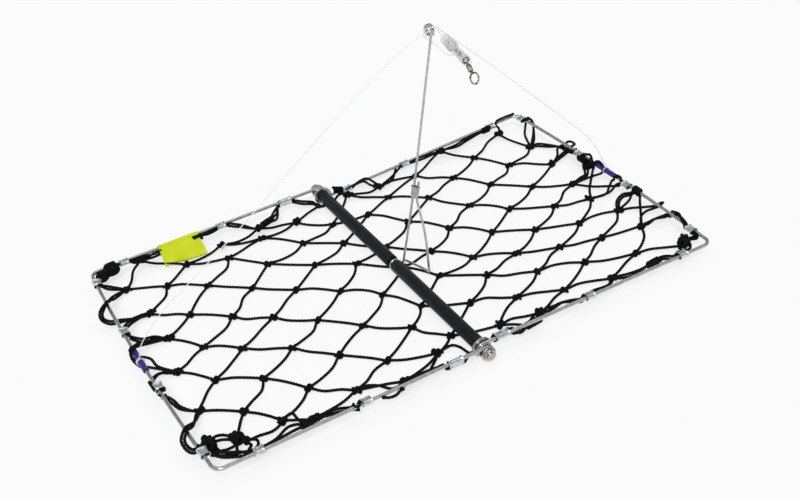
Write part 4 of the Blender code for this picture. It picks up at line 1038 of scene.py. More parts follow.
def pressed_sleeve(outline, length, wall, place, sections, closed=True):
    """A sleeve drawn out section by section from its outline, then given its wall.

    Each section is a share of the length, how far its rim opens, and how far its waist goes in.
    """
    bm = bmesh.new()
    line = [bm.verts.new((x, y, 0)) for x, y, _ in outline]
    rows = drawn_out(bm, line, closed, len(sections) - 1)
    middle = sum(x for x, _, _ in outline) / len(outline)
    for (share, flare, waist), row in zip(sections, rows):
        for vert, (x, y, pinched) in zip(row, outline):
            way = Vector((x - middle, y)).normalized()
            vert.co = (x + way.x * flare, y + way.y * flare - math.copysign(pinched * waist, y),
                       length * (share - 0.5))
    bmesh.ops.recalc_face_normals(bm, faces=bm.faces)
    bmesh.ops.solidify(bm, geom=bm.faces[:], thickness=wall)
    bm.transform(place)
    return bm


def pair_outline(rod_reach, cord_reach, distance):
    """Points round a rod and the cord beside it; the third number says how far a waist goes in."""
    waist = distance * 0.53
    line = []
    for centre, radius, first in ((distance, cord_reach, -90), (0, rod_reach, 90)):
        for angle in evenly(first, first + 180, 9):
            x, y = on_circle(radius, math.radians(angle))
            line.append((centre + x, y, 0.0))
        line.append((waist, math.copysign((rod_reach + cord_reach) / 2, -first), 1.0))
    return line


# Crimps, by side and bar: their places as shares of the half's length, or of its half width

TIED_CRIMP = -38.0 * MM / HALF_LENGTH
CRIMP_SHARES = {
    (-1, "end"): (-0.845, -0.248, 0.317, 0.874),
    (-1, "near"): (-0.849, -0.464, -0.125),
    (-1, "far"): (-0.865, -0.45, TIED_CRIMP),
    (1, "end"): (-0.819, -0.208, 0.28, 0.916),
    (1, "near"): (0.0795, 0.45, 0.868),
    (1, "far"): (0.1065, 0.4035, 0.855),
}
CRIMP_WALL = 0.6 * MM
TOOL_MARKS = (0.16, 0.28, 0.38, 0.5, 0.62, 0.72, 0.84)


def crimp_places(side):
    """Each crimp of one half: its name, bar, place along the bar and length."""
    for bar in ("end", "near", "far"):
        span = LEFT_BAR_Y if bar == "end" else HALF_LENGTH
        for i, share in enumerate(CRIMP_SHARES[side, bar]):
            place = share * span
            is_long = bar != "end" and (abs(place) < LONG_CRIMPS_WITHIN or share == TIED_CRIMP)
            length = LONG_CRIMP_LENGTH if is_long else CRIMP_LENGTH
            yield f"crimp_{SIDE_WORDS[side]}_{bar}_{i + 1}", bar, place, length


def cord_side(side, bar, place):
    """The way from a rod's centre to its lacing: below the left rod near the axle, else inwards."""
    if bar != "end" and side < 0 and abs(place) < UNDER_ROD_WITHIN:
        return -UP
    return inward_from(side, bar)


def make_crimps(word, side):
    """Pressed sleeves with flared mouths, a waist between rod and cord, and tool marks."""
    rng = random.Random(41 + side)
    outline = pair_outline(
        ROD_RADIUS + GAP + CRIMP_WALL, LACING_RADIUS + GAP + CRIMP_WALL, CORD_OFFSET)
    for name, bar, place, length in crimp_places(side):
        slope = on_bar(side, bar, place + MM) - on_bar(side, bar, place - MM)
        turn = facing(on_bar(side, bar, place), slope, cord_side(side, bar, place))
        flare = rng.uniform(0.5, 0.85) * MM
        marks = [(share, rng.uniform(-0.05, 0.05) * MM, rng.uniform(0.45, 0.95) * MM)
                 for share in TOOL_MARKS]
        sections = [(0, flare, 0), (0.05, flare * 0.45, 0.2 * MM), *marks,
                    (0.95, flare * 0.45, 0.2 * MM), (1, flare * rng.uniform(0.6, 1.1), 0)]
        mesh = finished_mesh(name, pressed_sleeve(outline, length, CRIMP_WALL, turn, sections))
        place_piece(f"pressed_{name}", mesh, "crimp_aluminium", f"{word}_frame",
                    replaces=[name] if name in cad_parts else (), smooth=50)


def make_clip_sleeve():
    """The double sleeve on the shaft, open on one side where the loose leg snaps in."""
    reach = ARM_RADIUS + GAP + CLIP_SLEEVE_WALL
    side = [(LEG_SPACING + 0.6 * MM, reach, 0.0), (LEG_SPACING, reach, 0.0),
            (LEG_SPACING * 0.62, reach - CLIP_SLEEVE_PINCH * 0.8, 0.3),
            (LEG_SPACING * 0.45, reach - CLIP_SLEEVE_PINCH, 0.3)]
    round_shaft = [(*on_circle(reach, math.radians(angle)), 0.0) for angle in range(60, 301, 15)]
    outline = [*side, *round_shaft, *[(x, -y, pinch) for x, y, pinch in reversed(side)]]
    place = facing(SLEEVE_FOOT + SHAFT_WAY * CLIP_SLEEVE_LENGTH / 2, SHAFT_WAY, clip_side())
    sections = [(0, 0.12 * MM, 0), (0.05, 0, 0), (0.3, 0, 0.5 * MM), (0.5, 0, 0.2 * MM),
                (0.7, 0, 0.4 * MM), (0.9, 0.25 * MM, 0), (1, 0.8 * MM, 0)]
    shape = pressed_sleeve(
        outline, CLIP_SLEEVE_LENGTH, CLIP_SLEEVE_WALL, place, sections, closed=False)
    place_piece("pressed_arm_sleeve", finished_mesh("sleeve", shape), "stainless_wire",
                "axle_unit", replaces=["arm_sleeve"], smooth=50)


def make_blue_sleeve(word, side):
    place = facing(end_point(side, SLEEVE_Y), ALONG_Y, UP)
    half = SLEEVE_LENGTH / 2
    profile = softened(ring_profile(ROD_RADIUS + GAP, SLEEVE_RADIUS, -half, half), 0.4 * MM)
    turned_piece(
        f"{word}_plastic_sleeve", profile, 32, place, "blue_sleeve", f"{word}_frame",
        f"{word}_blue_sleeve")


# Bead, sleeves, crimp and swivel

CHAIN_PLACE = facing(CHAIN_START, CHAIN_WAY, ALONG_Y)


def capped_sleeve(name, node, shape, wall, start, end):
    """A soft sleeve from (share, radius in mm) points along the chain, with rounded rims."""
    points = smooth_path(
        [Vector((out * MM, start + (end - start) * share, 0)) for share, out in shape], 0.6 * MM)
    outer = [(point.x, point.y) for point in points]
    inner = [(out - wall, along) for out, along in reversed(outer)]
    turned_piece(
        name, softened(outer + inner, 0.15 * MM, steps=2), 40, CHAIN_PLACE, "clear_plastic",
        "axle_unit", node, smooth=60)


def make_soft_sleeves():
    capped_sleeve(
        "soft_bead_sleeve", "bead_sleeve",
        ((0, 4.2), (0.33, 4.7), (0.55, 5.2), (0.79, 5.2), (0.94, 4.0), (1, 3.2)), 0.6 * MM,
        0, BEAD_SLEEVE_END)
    capped_sleeve(
        "soft_swivel_sleeve", "swivel_sleeve",
        ((0, 3.9), (0.35, 3.9), (0.6, 4.3), (0.85, 4.3), (0.95, 3.9), (1, 3.3)), 0.4 * MM,
        SWIVEL_SLEEVE_START, UPPER_EYE_AT + SWIVEL_EYE_RADIUS + 2 * EYE_WIRE_RADIUS)


def make_bead():
    """The clear bead, with a hole for the line."""
    first = math.asin((LINE_RADIUS + GAP) / BEAD_RADIUS)
    profile = [(BEAD_RADIUS * math.sin(angle), BEAD_AT - BEAD_RADIUS * math.cos(angle))
               for angle in evenly(first, math.pi - first, 24)]
    made = turned_piece("round_bead", profile, 40, CHAIN_PLACE, "clear_plastic", "axle_unit",
                        "clear_bead", smooth=60)
    made.data.materials[0] = BEAD_FINISH


def make_line_crimp(ribs=4):
    """The metal sleeve that joins the lines, with pressed grooves between its ribs."""
    end_radius, groove, edge = CRIMP_RADIUS - 0.6 * MM, 0.4 * MM, 0.15 * MM
    profile = [(0, CRIMP_START), (end_radius, CRIMP_START)]
    for turn, along in zip(evenly(0, math.tau * ribs, 8 * ribs),
                           evenly(CRIMP_START + edge, CRIMP_END - edge, 8 * ribs)):
        depth = (0.5 + 0.5 * math.cos(turn)) ** 1.5
        profile.append((CRIMP_RADIUS - groove * depth, along))
    profile += [(end_radius, CRIMP_END), (0, CRIMP_END)]
    turned_piece("ribbed_line_crimp", profile, 28, CHAIN_PLACE, "crimp_aluminium", "axle_unit",
                 "line_crimp", closed=False)


def make_line_loop():
    """The loop of line that ties the crimp to the swivel's upper eye."""
    span = 1.4 * MM
    hang = UPPER_EYE_AT - SWIVEL_EYE_RADIUS
    rise = EYE_WIRE_RADIUS + GAP + LINE_RADIUS
    places = [(CRIMP_END - MM, span * 0.5), (hang - MM, span)]
    places += [(hang + rise * math.sin(angle), span * math.cos(angle))
               for angle in evenly(0, math.pi, 12)[1:-1]]
    places += [(hang - MM, -span), (CRIMP_END - MM, -span * 0.5)]
    loop = [chain_point(along, out, math.pi / 2) for along, out in places]
    place_piece("line_loop", swept_mesh("loop", [loop], radius=LINE_RADIUS, sides=10),
                "clear_line", "axle_unit", replaces=["swivel_loop"])


UPPER_EYE = CHAIN_START + CHAIN_WAY * UPPER_EYE_AT
BARREL_START = SWIVEL_EYE_RADIUS + EYE_WIRE_RADIUS + 1.6 * MM
BARREL_LENGTH = 8.4 * MM
BARREL_END = BARREL_START + BARREL_LENGTH
BARREL_RADIUS = 2.4 * MM
STEM_RADIUS = 0.75 * MM
HEAD_RADIUS = 1.5 * MM
HEAD_LENGTH = 1.2 * MM
LIP = 0.9 * MM
LOWER_HALF_WIDTH = 3.9 * MM
LOWER_HALF_LENGTH = 5.6 * MM
LOWER_RING_AT = BARREL_END + 1.2 * MM + EYE_WIRE_RADIUS + LOWER_HALF_LENGTH
COLLAR_RADIUS = STEM_RADIUS * 1.5
SWIVEL_PLACE = facing(UPPER_EYE, SWIVEL_WAY, ALONG_Y)


def oval_ring(centre_at, half_width, half_length):
    centre = UPPER_EYE + SWIVEL_WAY * centre_at
    path = [centre + swung(SWIVEL_WAY * half_length, ALONG_Y.cross(SWIVEL_WAY) * half_width, angle)
            for angle in evenly(0, math.tau, 56)[:-1]]
    return swept_mesh("oval", [path], radius=SHOWN_EYE_WIRE, sides=16, closed=(0,))


def make_upper_eye():
    """The upper eye, and its stem with the head inside the barrel."""
    face = BARREL_START + LIP + GAP
    stem = turned([
        (0, SWIVEL_EYE_RADIUS), (COLLAR_RADIUS, SWIVEL_EYE_RADIUS + 0.2 * MM),
        (STEM_RADIUS, SWIVEL_EYE_RADIUS + 1.5 * MM), (STEM_RADIUS, face), (HEAD_RADIUS, face),
        (HEAD_RADIUS, face + HEAD_LENGTH), (0, face + HEAD_LENGTH)],
        24, SWIVEL_PLACE, closed=False)
    mesh = merged("eye", oval_ring(0, SWIVEL_EYE_RADIUS, SWIVEL_EYE_RADIUS), stem)
    place_piece("upper_eye_and_stem", mesh, "black_nickel", "axle_unit",
                replaces=["swivel_upper_eye"])


def make_barrel():
    """The hollow barrel, with a raised band at each end and a groove round its middle."""
    hole, room = STEM_RADIUS + GAP, HEAD_RADIUS + GAP
    outline = (
        (0, 0.5), (0.02, 0.64), (0.1, 0.86), (0.17, 0.94), (0.21, 0.86), (0.25, 0.95), (0.34, 1.0),
        (0.42, 0.97), (0.46, 0.84), (0.5, 0.82), (0.54, 0.84), (0.58, 0.97), (0.66, 1.0),
        (0.75, 0.95), (0.79, 0.86), (0.83, 0.94), (0.9, 0.86), (0.98, 0.64), (1, 0.5))
    outer = [(BARREL_RADIUS * share, BARREL_START + BARREL_LENGTH * along)
             for along, share in outline]
    inner = [(hole, BARREL_END), (hole, BARREL_END - LIP), (room, BARREL_END - LIP),
             (room, BARREL_START + LIP), (hole, BARREL_START + LIP), (hole, BARREL_START)]
    turned_piece("banded_barrel", outer + inner, 36, SWIVEL_PLACE, "black_nickel", "barrel",
                 "swivel_barrel", smooth=50)


def make_lower_ring():
    """The oval lower ring, and its stem with the head inside the barrel."""
    neck = LOWER_RING_AT - LOWER_HALF_LENGTH
    seat = BARREL_END - LIP - GAP
    stem = turned([
        (0, seat - HEAD_LENGTH), (HEAD_RADIUS, seat - HEAD_LENGTH), (HEAD_RADIUS, seat),
        (STEM_RADIUS, seat), (STEM_RADIUS, neck - 0.9 * MM), (COLLAR_RADIUS, neck - 0.1 * MM),
        (0, neck)], 24, SWIVEL_PLACE, closed=False)
    mesh = merged("ring", oval_ring(LOWER_RING_AT, LOWER_HALF_WIDTH, LOWER_HALF_LENGTH), stem)
    place_piece("oval_lower_ring", mesh, "black_nickel", "ring", replaces=["swivel_ring"])


# Tag

TAG_LENGTH = 40.0 * MM
TAG_REACH = 23.0 * MM
TAG_DROP = 7.5 * MM
TAG_PLACE = -0.635 * HALF_LENGTH
TAG_WALL = 0.55 * MM
TAG_FOLD = 3.6 * MM
LAYERS_APART = 0.32 * MM
LOOSE_FROM = 3 * MM
CURLED_FROM = 0.72


def tag_section():
    """The folded strip's outline: its lower layer, the bend round the bar, its upper layer."""
    bend = ROD_RADIUS + GAP + TAG_WALL / 2
    lower = [(out, -LAYERS_APART) for out in evenly(TAG_REACH, TAG_FOLD, 12)]
    around = [on_circle(bend, math.radians(angle)) for angle in evenly(-24, -336, 20)]
    return [*lower, *around, *[(out, -height) for out, height in reversed(lower)]]


def wave_tag(spot):
    """Moves a point of the flat tag: the further out, the more it waves, spreads and curls."""
    out, height, along = spot
    loose = max(0, (out - LOOSE_FROM) / (TAG_REACH - LOOSE_FROM))
    curled = max(0, (loose - CURLED_FROM) / (1 - CURLED_FROM))
    share = along / TAG_LENGTH
    wave = math.sin(share * 7.5 + 0.8) * 0.9 + math.sin(share * 15 + 2) * 0.35
    opening = math.copysign(0.25, height) * loose
    spot.x += loose * (along * 0.09 - 0.5 * MM * (0.5 + 0.5 * math.cos(share * 9)))
    spot.y += (wave * loose ** 1.5 + opening + 2.4 * curled ** 2) * MM
    spot.z += 0.6 * MM * loose * math.sin(share * 3) - out * 0.05


def make_tag(steps=24):
    """A bare strip folded over the far bar, its two layers a little wavy and apart at the edge."""
    bm = bmesh.new()
    line = [bm.verts.new((out, height, -TAG_LENGTH / 2)) for out, height in tag_section()]
    for i, row in enumerate(drawn_out(bm, line, False, steps)):
        for vert in row:
            vert.co.z += TAG_LENGTH * i / steps
            wave_tag(vert.co)
    bmesh.ops.recalc_face_normals(bm, faces=bm.faces)
    bmesh.ops.solidify(bm, geom=bm.faces[:], thickness=TAG_WALL)
    down = math.asin(TAG_DROP / TAG_REACH)
    outwards = Vector((0, -math.cos(down), -math.sin(down)))
    bm.transform(facing(bar_point(-1, TAG_PLACE, 1), ALONG_X, outwards))
    place_piece("folded_lime_tag", finished_mesh("tag", bm), "lime_tag", "left_frame",
                replaces=["bar_tag"], smooth=50)


# Net: laid cords between knots, one mesh for each half

KNOT_SCALE = 1.08 * MM
TIED_KNOTS = {
    item for runs in HOLDING_CORDS.values() for run in runs for item in run[1:] if len(item) == 2}
KNOT_LIFT = 1.2 * MM
KNOT_REACH = 1.2 * MM
NEXT_BOW = 2.0 * MM
BACK_BOW = 0.6 * MM
MOST_SLACK = 3.8 * MM
SLACK_SHARE = 0.11
CORD_LOW = 1.6 * MM
CORD_DIP = 1.1 * MM


def net_knot(centre, rng):
    """A knot pulled tight: a small closed trefoil, turned and sized by chance."""
    size = rng.uniform(0.94, 1.1)
    turn = Matrix.Rotation(rng.uniform(0, math.tau), 3, "Z")
    hand = rng.choice((-1, 1))
    found = []
    for t in evenly(0, math.tau, 26)[:-1]:
        flat = Vector((
            math.sin(t) + 2 * math.sin(2 * t), hand * (math.cos(t) - 2 * math.cos(2 * t)), 0))
        lift = UP * KNOT_LIFT * math.sin(3 * t)
        found.append(centre + turn @ flat * KNOT_SCALE * size - lift)
    return found


def under_axle(start, end):
    """The points between two knots on either side of the axle, low enough to pass below it."""
    nearly_half = 0.45
    cut = start.lerp(end, abs(start.x) / abs(start.x - end.x))
    cut.x, cut.z = 0, MIDDLE_CORD_Z
    middle = [cut]
    for spot in (start, end):
        if abs(spot.x) > 2 * MIDDLE_CLEARANCE * MM:
            middle.append(cut.lerp(spot, nearly_half))
            middle[-1].z = CORD_LOW
    return sorted(middle, key=lambda spot: (spot - start).length)


def net_cord(start, end, bow, rng):
    """A slack cord between two knots, bowed to its left and swung a little aside by chance."""
    way = (end - start).normalized()
    across = UP.cross(way).normalized()
    swing = rng.uniform(-1, 1) * min(MOST_SLACK, (end - start).length * SLACK_SHARE)
    bends = (bow + swing, bow + swing * rng.uniform(0.1, 1))
    if start.x * end.x < 0:
        middle = under_axle(start, end)
    else:
        middle = []
        for share, bend in zip((0.33, 0.67), bends):
            middle.append(start.lerp(end, share) + across * bend)
            middle[-1].z = max(CORD_LOW, middle[-1].z - CORD_DIP)
    return smooth_path(
        [start + way * KNOT_REACH, *middle, end - way * KNOT_REACH], CORD_STEP)


def split_at_axle(path):
    """The parts of a path on the left and the right of the axle, which share the point between."""
    cut = min(range(len(path)), key=lambda i: abs(path[i].x))
    first, second = path[:cut + 1], path[cut:]
    return (first, second) if path[0].x < 0 else (second, first)


def make_nets():
    rng = random.Random(23)
    cords = {-1: [], 1: []}
    lumps = {-1: [], 1: []}
    for key in sorted(KNOTS):
        spot = KNOTS[key]
        side = -1 if spot.x < 0 else 1
        lumps[side].append(net_knot(spot, rng))
        if key in TIED_KNOTS:
            aside = mm((rng.uniform(-2.6, 2.6), rng.uniform(-2.6, 2.6), rng.uniform(0.4, 1.4)))
            lumps[side].append(net_knot(spot + aside, rng))
        column, total = key
        for other, bow in ((column + 1, NEXT_BOW), (column - 1, BACK_BOW)):
            end = KNOTS.get((other, total + 1))
            if end is None:
                continue
            path = net_cord(spot, end, bow, rng)
            if spot.x * end.x < 0:
                for cut_side, part in zip(SIDE_WORDS, split_at_axle(path)):
                    cords[cut_side].append(part)
            else:
                cords[side].append(path)
    for side, word in SIDE_WORDS.items():
        place_cords(
            f"{word}_knotted_net", f"net_{word}", cords[side], lumps[side],
            blend=(f"{word}_frame", "axle_unit", (side * 30 * MM, 0, 0), (0, 0, 0)))


# Lacing: the cords that hold the net to the bars, through the crimps

PAIR_SPREAD = 1.3 * MM
CLOSED_SPREAD = 0.45
CLOSING_LENGTH = 7 * MM
AXLE_CROSSING_Y = {"near": -140.2 * MM, "far": 138.0 * MM}
CROSSES_WITHIN = 16
CRIMPED_WITHIN = 5 * MM
LEAST_Z = 1.4 * MM
HITCH_PITCH = 2.45 * MM
HITCH_RADIUS = 2.3 * MM
HITCH_UNEVEN = 0.08
LEAST_HITCH_Z = 4.0


def clear_point(side, bar, point):
    """The point, moved out of its bar, its blue sleeve or the ground where it is inside them."""
    place = point.y if bar == "end" else point.x
    away = point - on_bar(side, bar, place)
    along = ALONG_Y if bar == "end" else ALONG_X
    away -= along * away.dot(along)
    reach = ROD_RADIUS + CORD_RADIUS
    if bar == "end" and abs(place - SLEEVE_Y) < SLEEVE_LENGTH / 2 + CORD_RADIUS:
        reach = SLEEVE_RADIUS + CORD_RADIUS
    if away.length < reach:
        point = point + away.normalized() * (reach - away.length)
    return Vector((point.x, point.y, max(point.z, LEAST_Z)))


def clear_of_rod(side, bar, cords):
    """The cords, with every point clear of the bar."""
    return [[clear_point(side, bar, point) for point in cord] for cord in cords]


def through_crimp(side, bar, spot):
    """The points that lead a cord end into the nearest crimp, or none where no crimp is near."""
    for _, crimp_bar, place, length in crimp_places(side):
        gap = spot[0] * MM - place
        if crimp_bar == bar and abs(gap) < length / 2 + CRIMPED_WITHIN:
            beside = cord_side(side, bar, place) * CORD_OFFSET
            way = math.copysign(1, gap)
            return [on_bar(side, bar, place + way * along) + beside
                    for along in (length / 2 + 1.2 * MM, length * 0.2)]
    return []


def beside_bar(side, bar, item, least=0.0):
    """The place that is so many mm along a bar, inwards from it and up."""
    along, inwards, height = item
    spot = on_bar(side, bar, along * MM) + inward_from(side, bar) * inwards * MM
    return Vector((spot.x, spot.y, max(height, least) * MM))


def lacing_points(side, bar, items):
    """One cord's points in the frame, led into crimps and under the axle where it ends there."""
    points = [KNOTS[item].copy() if len(item) == 2 else beside_bar(side, bar, item)
              for item in items]
    for first in (True, False):
        item = items[0] if first else items[-1]
        if len(item) == 2:
            continue
        ending = through_crimp(side, bar, item)
        if ending:
            points = [*reversed(ending), *points[1:]] if first else [*points[:-1], *ending]
        elif bar != "end" and abs(item[0]) < CROSSES_WITHIN:
            crossing = Vector((0, AXLE_CROSSING_Y[bar], MIDDLE_CORD_Z))
            outer = crossing + mm((side * 7, 0, 0.6))
            points = [crossing, outer, *points] if first else [*points, outer, crossing]
    return smooth_path(points, CORD_STEP)


def side_frames(path, turn, pitch):
    """For each point, a way square to the path that turns slowly along it."""
    steep = 0.9
    found = []
    gone = 0.0
    for i, point in enumerate(path):
        way = (path[min(i + 1, len(path) - 1)] - path[max(i - 1, 0)]).normalized()
        across = way.cross(UP if abs(way.z) < steep else ALONG_X).normalized()
        if i:
            gone += (point - path[i - 1]).length
        found.append(swung(across, way.cross(across), turn + math.tau * gone / pitch))
    return found


def paired_cords(path, rng):
    """Two cords side by side that drift round each other, and close up at both ends."""
    ways = side_frames(path, rng.uniform(-0.5, 0.5), rng.uniform(60, 110) * MM)
    strands = ([], [])
    for i, (point, way) in enumerate(zip(path, ways)):
        from_end = min(i, len(path) - 1 - i) * CORD_STEP
        open_share = min(1, from_end / CLOSING_LENGTH)
        spread = PAIR_SPREAD * (CLOSED_SPREAD + (1 - CLOSED_SPREAD) * open_share)
        strands[0].append(point + way * spread)
        strands[1].append(point - way * spread)
    return strands


def hitch_turns(start, end, rng):
    """Tight turns of cord round the cords that run from start to end."""
    length = (end - start).length + HITCH_PITCH
    way = (end - start).normalized()
    across = way.cross(UP).normalized()
    turns = max(2, round(length / HITCH_PITCH))
    first = rng.uniform(0, math.tau)
    found = []
    for share in evenly(0, 1, turns * 16):
        angle = first + math.tau * turns * share
        out = HITCH_RADIUS * (1 + HITCH_UNEVEN * math.sin(3.1 * angle + first))
        found.append(start + way * (length * share - HITCH_PITCH / 2)
                     + swung(across, way.cross(across), angle) * out)
    return found


def make_lacings():
    rng = random.Random(7)
    for (side, bar), runs in HOLDING_CORDS.items():
        word = SIDE_WORDS[side]
        cords = []
        for kind, *items in runs:
            if kind == "h":
                ends = [beside_bar(side, bar, item, LEAST_HITCH_Z) for item in items]
                strands = [hitch_turns(*ends, rng)]
            else:
                path = lacing_points(side, bar, items)
                strands = [path] if kind == "s" else paired_cords(path, rng)
            cords += clear_of_rod(side, bar, strands)
        rides = {"body": f"{word}_frame"}
        if bar != "end":
            rides = {"blend": (f"{word}_frame", "axle_unit", (side * 16 * MM, 0, 0), (0, 0, 0))}
        place_cords(f"{word}_{bar}_holding_cords", f"lacing_{word}_{bar}", cords, **rides)


# Spare net, bunched and tied into three corners

def wound_cord(centre, half, turns, rng, low):
    """A cord wound over and over round a lump, each turn on another slant."""
    count = range(turns + 1)
    slants = [Euler([rng.uniform(0, math.tau) for _ in range(3)]).to_quaternion() for _ in count]
    offsets = [rng.uniform(-0.65, 0.65) for _ in count]
    depths = [rng.uniform(low, 1) for _ in count]
    found = []
    for turn in range(turns):
        for t in evenly(0, 1, 20)[:-1]:
            slant = slants[turn].slerp(slants[turn + 1], t)
            offset, depth = (values[turn] * (1 - t) + values[turn + 1] * t
                             for values in (offsets, depths))
            reach = math.sqrt(1 - offset ** 2)
            spot = slant @ Vector((*on_circle(reach, math.tau * t), offset))
            found.append(centre + Vector([a * b * depth for a, b in zip(spot, half)]))
    return smooth_path(found, CORD_STEP)


# Each bunch: its side, its lumps of wound cord (centre, half sizes, turns of each cord, least
# depth), its loose knots, and the single cords (1) or pairs (2) that run to and from it, in mm

BUNCHES = {
    "bunch_left_near": (-1, (
        ((-230.0, -119.5, 9.4), (6.8, 8.8, 6.4), (7, 5), 0.6),
        ((-208.6, -124.6, 8.8), (7.2, 7.6, 6.0), (6, 5), 0.45),
    ), ((-229, -111, 9), (-228, -127, 8), (-210, -120, 9), (-204, -130, 8)), (
        (2, (-236.2, -127.5, 14), (-235.1, -129.9, 12), (-228.5, -131.2, 9), (-220.4, -135.4, 8),
         (-212.4, -141.2, 10), (-206.6, -148.6, 13), (-203.5, -149.7, 14)),
        (1, (-234.0, -124.0, 11), (-232.4, -130.6, 11), (-226.5, -134.6, 7.4),
         (-218.4, -139.0, 6.4), (-211.0, -144.6, 8.5), (-207.2, -148.2, 11.5)),
        (1, (-229.5, -112.5, 9), (-226.1, -113.6, 9), (-221, -112.9, 9), (-216.3, -115.1, 9),
         (-212.7, -118.0, 8), (-209.6, -121.4, 9)),
        (1, (-228.0, -116.0, 8), (-223.9, -116.8, 8), (-219.4, -118.0, 8), (-214.5, -121.1, 8),
         (-210.4, -125.6, 8)),
        (1, (-227.0, -126.5, 7), (-220.5, -128.0, 6), (-214.4, -128.2, 6), (-209.6, -127.6, 7)),
        (1, (-211.0, -128.5, 7), (-213.4, -134.0, 7), (-213.6, -139.2, 9)),
        (1, (-205.6, -129.0, 8), (-200.4, -130.9, 8), (-197.0, -135.2, 9), (-198.4, -140.6, 9),
         (-203.2, -144.4, 10), (-206.2, -140.6, 8), (-202.3, -135.4, 7), (-204.8, -130.0, 7)),
        (1, (-170.3, -122.2, 3), (-176.5, -126.9, 4), (-183.2, -129.5, 5), (-192.7, -129.0, 6),
         (-199.5, -131.0, 8), (-204.6, -129.6, 8)),
    )),
    "bunch_left_far": (-1, (
        ((-229.0, 146.6, 10.6), (7.2, 6.8, 6.6), (7, 5), 0.7),
        ((-219.0, 150.0, 11.8), (9.6, 6.8, 6.4), (8, 7), 0.7),
    ), ((-223, 147, 15),), (
        (2, (-206.0, 149.7, 14), (-209.6, 150.2, 14.5), (-215.0, 151.0, 15.5)),
    )),
    "bunch_right_near": (1, (
        ((225.0, -130.5, 9.0), (7.2, 7.0, 6.6), (7, 6), 0.66),
    ), ((228, -127, 11),), (
        (2, (230.0, -130.4, 9), (233.4, -131.2, 9.4), (236.8, -133.4, 10.6), (237.4, -131.8, 13),
         (236.0, -128.2, 14), (235.8, -124.5, 14)),
        (1, (222.0, -135.6, 8), (218.4, -139.6, 8), (214.4, -138.6, 8), (208.4, -139.8, 9),
         (203.4, -145.6, 12), (203.0, -147.4, 14), (206.4, -147.4, 14)),
        (1, (227.4, -136.4, 8), (222.4, -141.4, 9), (214.8, -144.4, 11), (210.0, -147.2, 13.6),
         (206.4, -147.4, 14)),
    )),
}


def make_bunches():
    rng = random.Random(19)
    for name, (side, masses, spots, runs) in BUNCHES.items():
        loops = [net_knot(mm(spot), rng) for spot in spots]
        cords = []
        for centre, half, windings, low in masses:
            half = [size * MM - CORD_RADIUS for size in half]
            cords += [wound_cord(mm(centre), half, turns, rng, low) for turns in windings]
        for strands, *points in runs:
            path = smooth_path([mm(point) for point in points], CORD_STEP)
            cords += paired_cords(path, rng) if strands == 2 else [path]
        for bar in ("far" if name.endswith("far") else "near", "end"):
            cords, loops = clear_of_rod(side, bar, cords), clear_of_rod(side, bar, loops)
        place_cords(f"tied_{name}", name, cords, loops, body=f"{SIDE_WORDS[side]}_frame")


make_bolt()
make_nut()
for axle_end, end_way in (("near", -ALONG_Y), ("far", ALONG_Y)):
    end_place = facing(AXLE, end_way, -UP)
    make_washers(axle_end, end_place)
    make_tube(axle_end, end_place)
make_arm()
make_clip_leg()
make_clip_sleeve()
make_soft_sleeves()
make_bead()
make_line_crimp()
make_line_loop()
make_upper_eye()
make_barrel()
make_lower_ring()
make_nets()
make_lacings()
make_bunches()
make_tag()
for frame_side, frame_word in SIDE_WORDS.items():
    make_rod(frame_word, frame_side)
    make_crimps(frame_word, frame_side)
    make_blue_sleeve(frame_word, frame_side)
bpy.data.objects.remove(CORD_SECTION)


# Floor, backdrop and light

def seen_rays(surface, mirrored=1.0):
    """1 for what the camera sees straight or through glass, and the mirrored share in metal."""
    camera, glossy, through = (
        surface.node("ShaderNodeLightPath", {}, f"Is {kind} Ray")
        for kind in ("Camera", "Glossy", "Transmission"))
    return camera + through + glossy * mirrored


FLOOR_RADIUS = 7
OWN_WHITE = 0.7


def pale_floor(surface):
    return {
        "Base Color": surface.noise(60, detail=3).colours((0.93, 0.93, 0.93), (0.95, 0.95, 0.95)),
        "Roughness": 0.9,
        "Specular IOR Level": 0.1,
    }


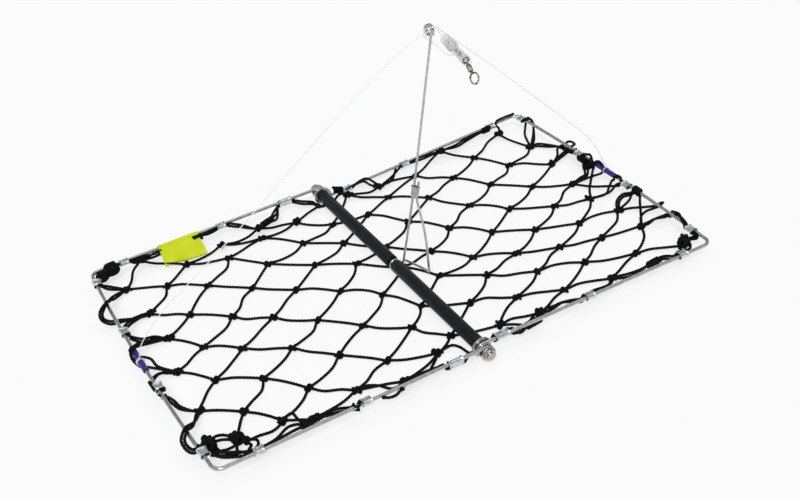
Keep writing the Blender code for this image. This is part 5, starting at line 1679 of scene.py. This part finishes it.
def make_floor():
    """A pale floor that keeps the shadow; part of its colour is its own, so that it stays pale."""
    bm = bmesh.new()
    bmesh.ops.create_circle(bm, cap_ends=True, segments=64, radius=FLOOR_RADIUS)
    mesh = bpy.data.meshes.new("floor")
    bm.to_mesh(mesh)
    bm.free()
    floor = bpy.data.objects.new("pale_floor", mesh)
    bpy.context.scene.collection.objects.link(floor)
    made = material("pale_floor", pale_floor)
    tree = made.node_tree
    surface = Shade(tree)
    lit = Shade(tree, tree.nodes["Principled BSDF"].outputs["BSDF"])
    white = surface.node("ShaderNodeEmission", {"Color": WHITE, "Strength": 1.0})
    mixed = surface.node(
        "ShaderNodeMixShader", {SHARE: seen_rays(surface) * OWN_WHITE, FIRST: lit, SECOND: white})
    tree.links.new(mixed.socket, tree.nodes["Material Output"].inputs["Surface"])
    mesh.materials.append(made)


def make_light():
    """A soft dome with a dark zone above the horizon, and one broad lamp."""
    world = bpy.data.worlds.new("studio")
    bpy.context.scene.world = world
    world.use_nodes = True
    tree = world.node_tree
    surface = Shade(tree)
    direction = surface.node("ShaderNodeTexCoord", {}, "Generated")
    height = surface.node("ShaderNodeSeparateXYZ", {"Vector": direction}, "Z")
    dark_zone = height.spread(0.12, 0.34) - height.spread(0.66, 0.86)
    dome = dark_zone.colours((0.96, 0.96, 0.96), (0.10, 0.10, 0.11))
    soft = surface.node("ShaderNodeBackground", {"Color": dome, "Strength": 1.0})
    white = surface.node("ShaderNodeBackground", {"Color": WHITE, "Strength": 1.0})
    mixed = surface.node(
        "ShaderNodeMixShader", {SHARE: seen_rays(surface, 0.25), FIRST: soft, SECOND: white})
    tree.links.new(mixed.socket, tree.nodes["World Output"].inputs["Surface"])

    lamp = bpy.data.lights.new("window", "SUN")
    lamp.energy = 1.75
    lamp.angle = math.radians(24)
    window = bpy.data.objects.new("window", lamp)
    window.rotation_euler = (math.radians(34), math.radians(-22), 0)
    bpy.context.scene.collection.objects.link(window)


make_floor()
make_light()
bpy.context.scene.view_settings.view_transform = "Standard"
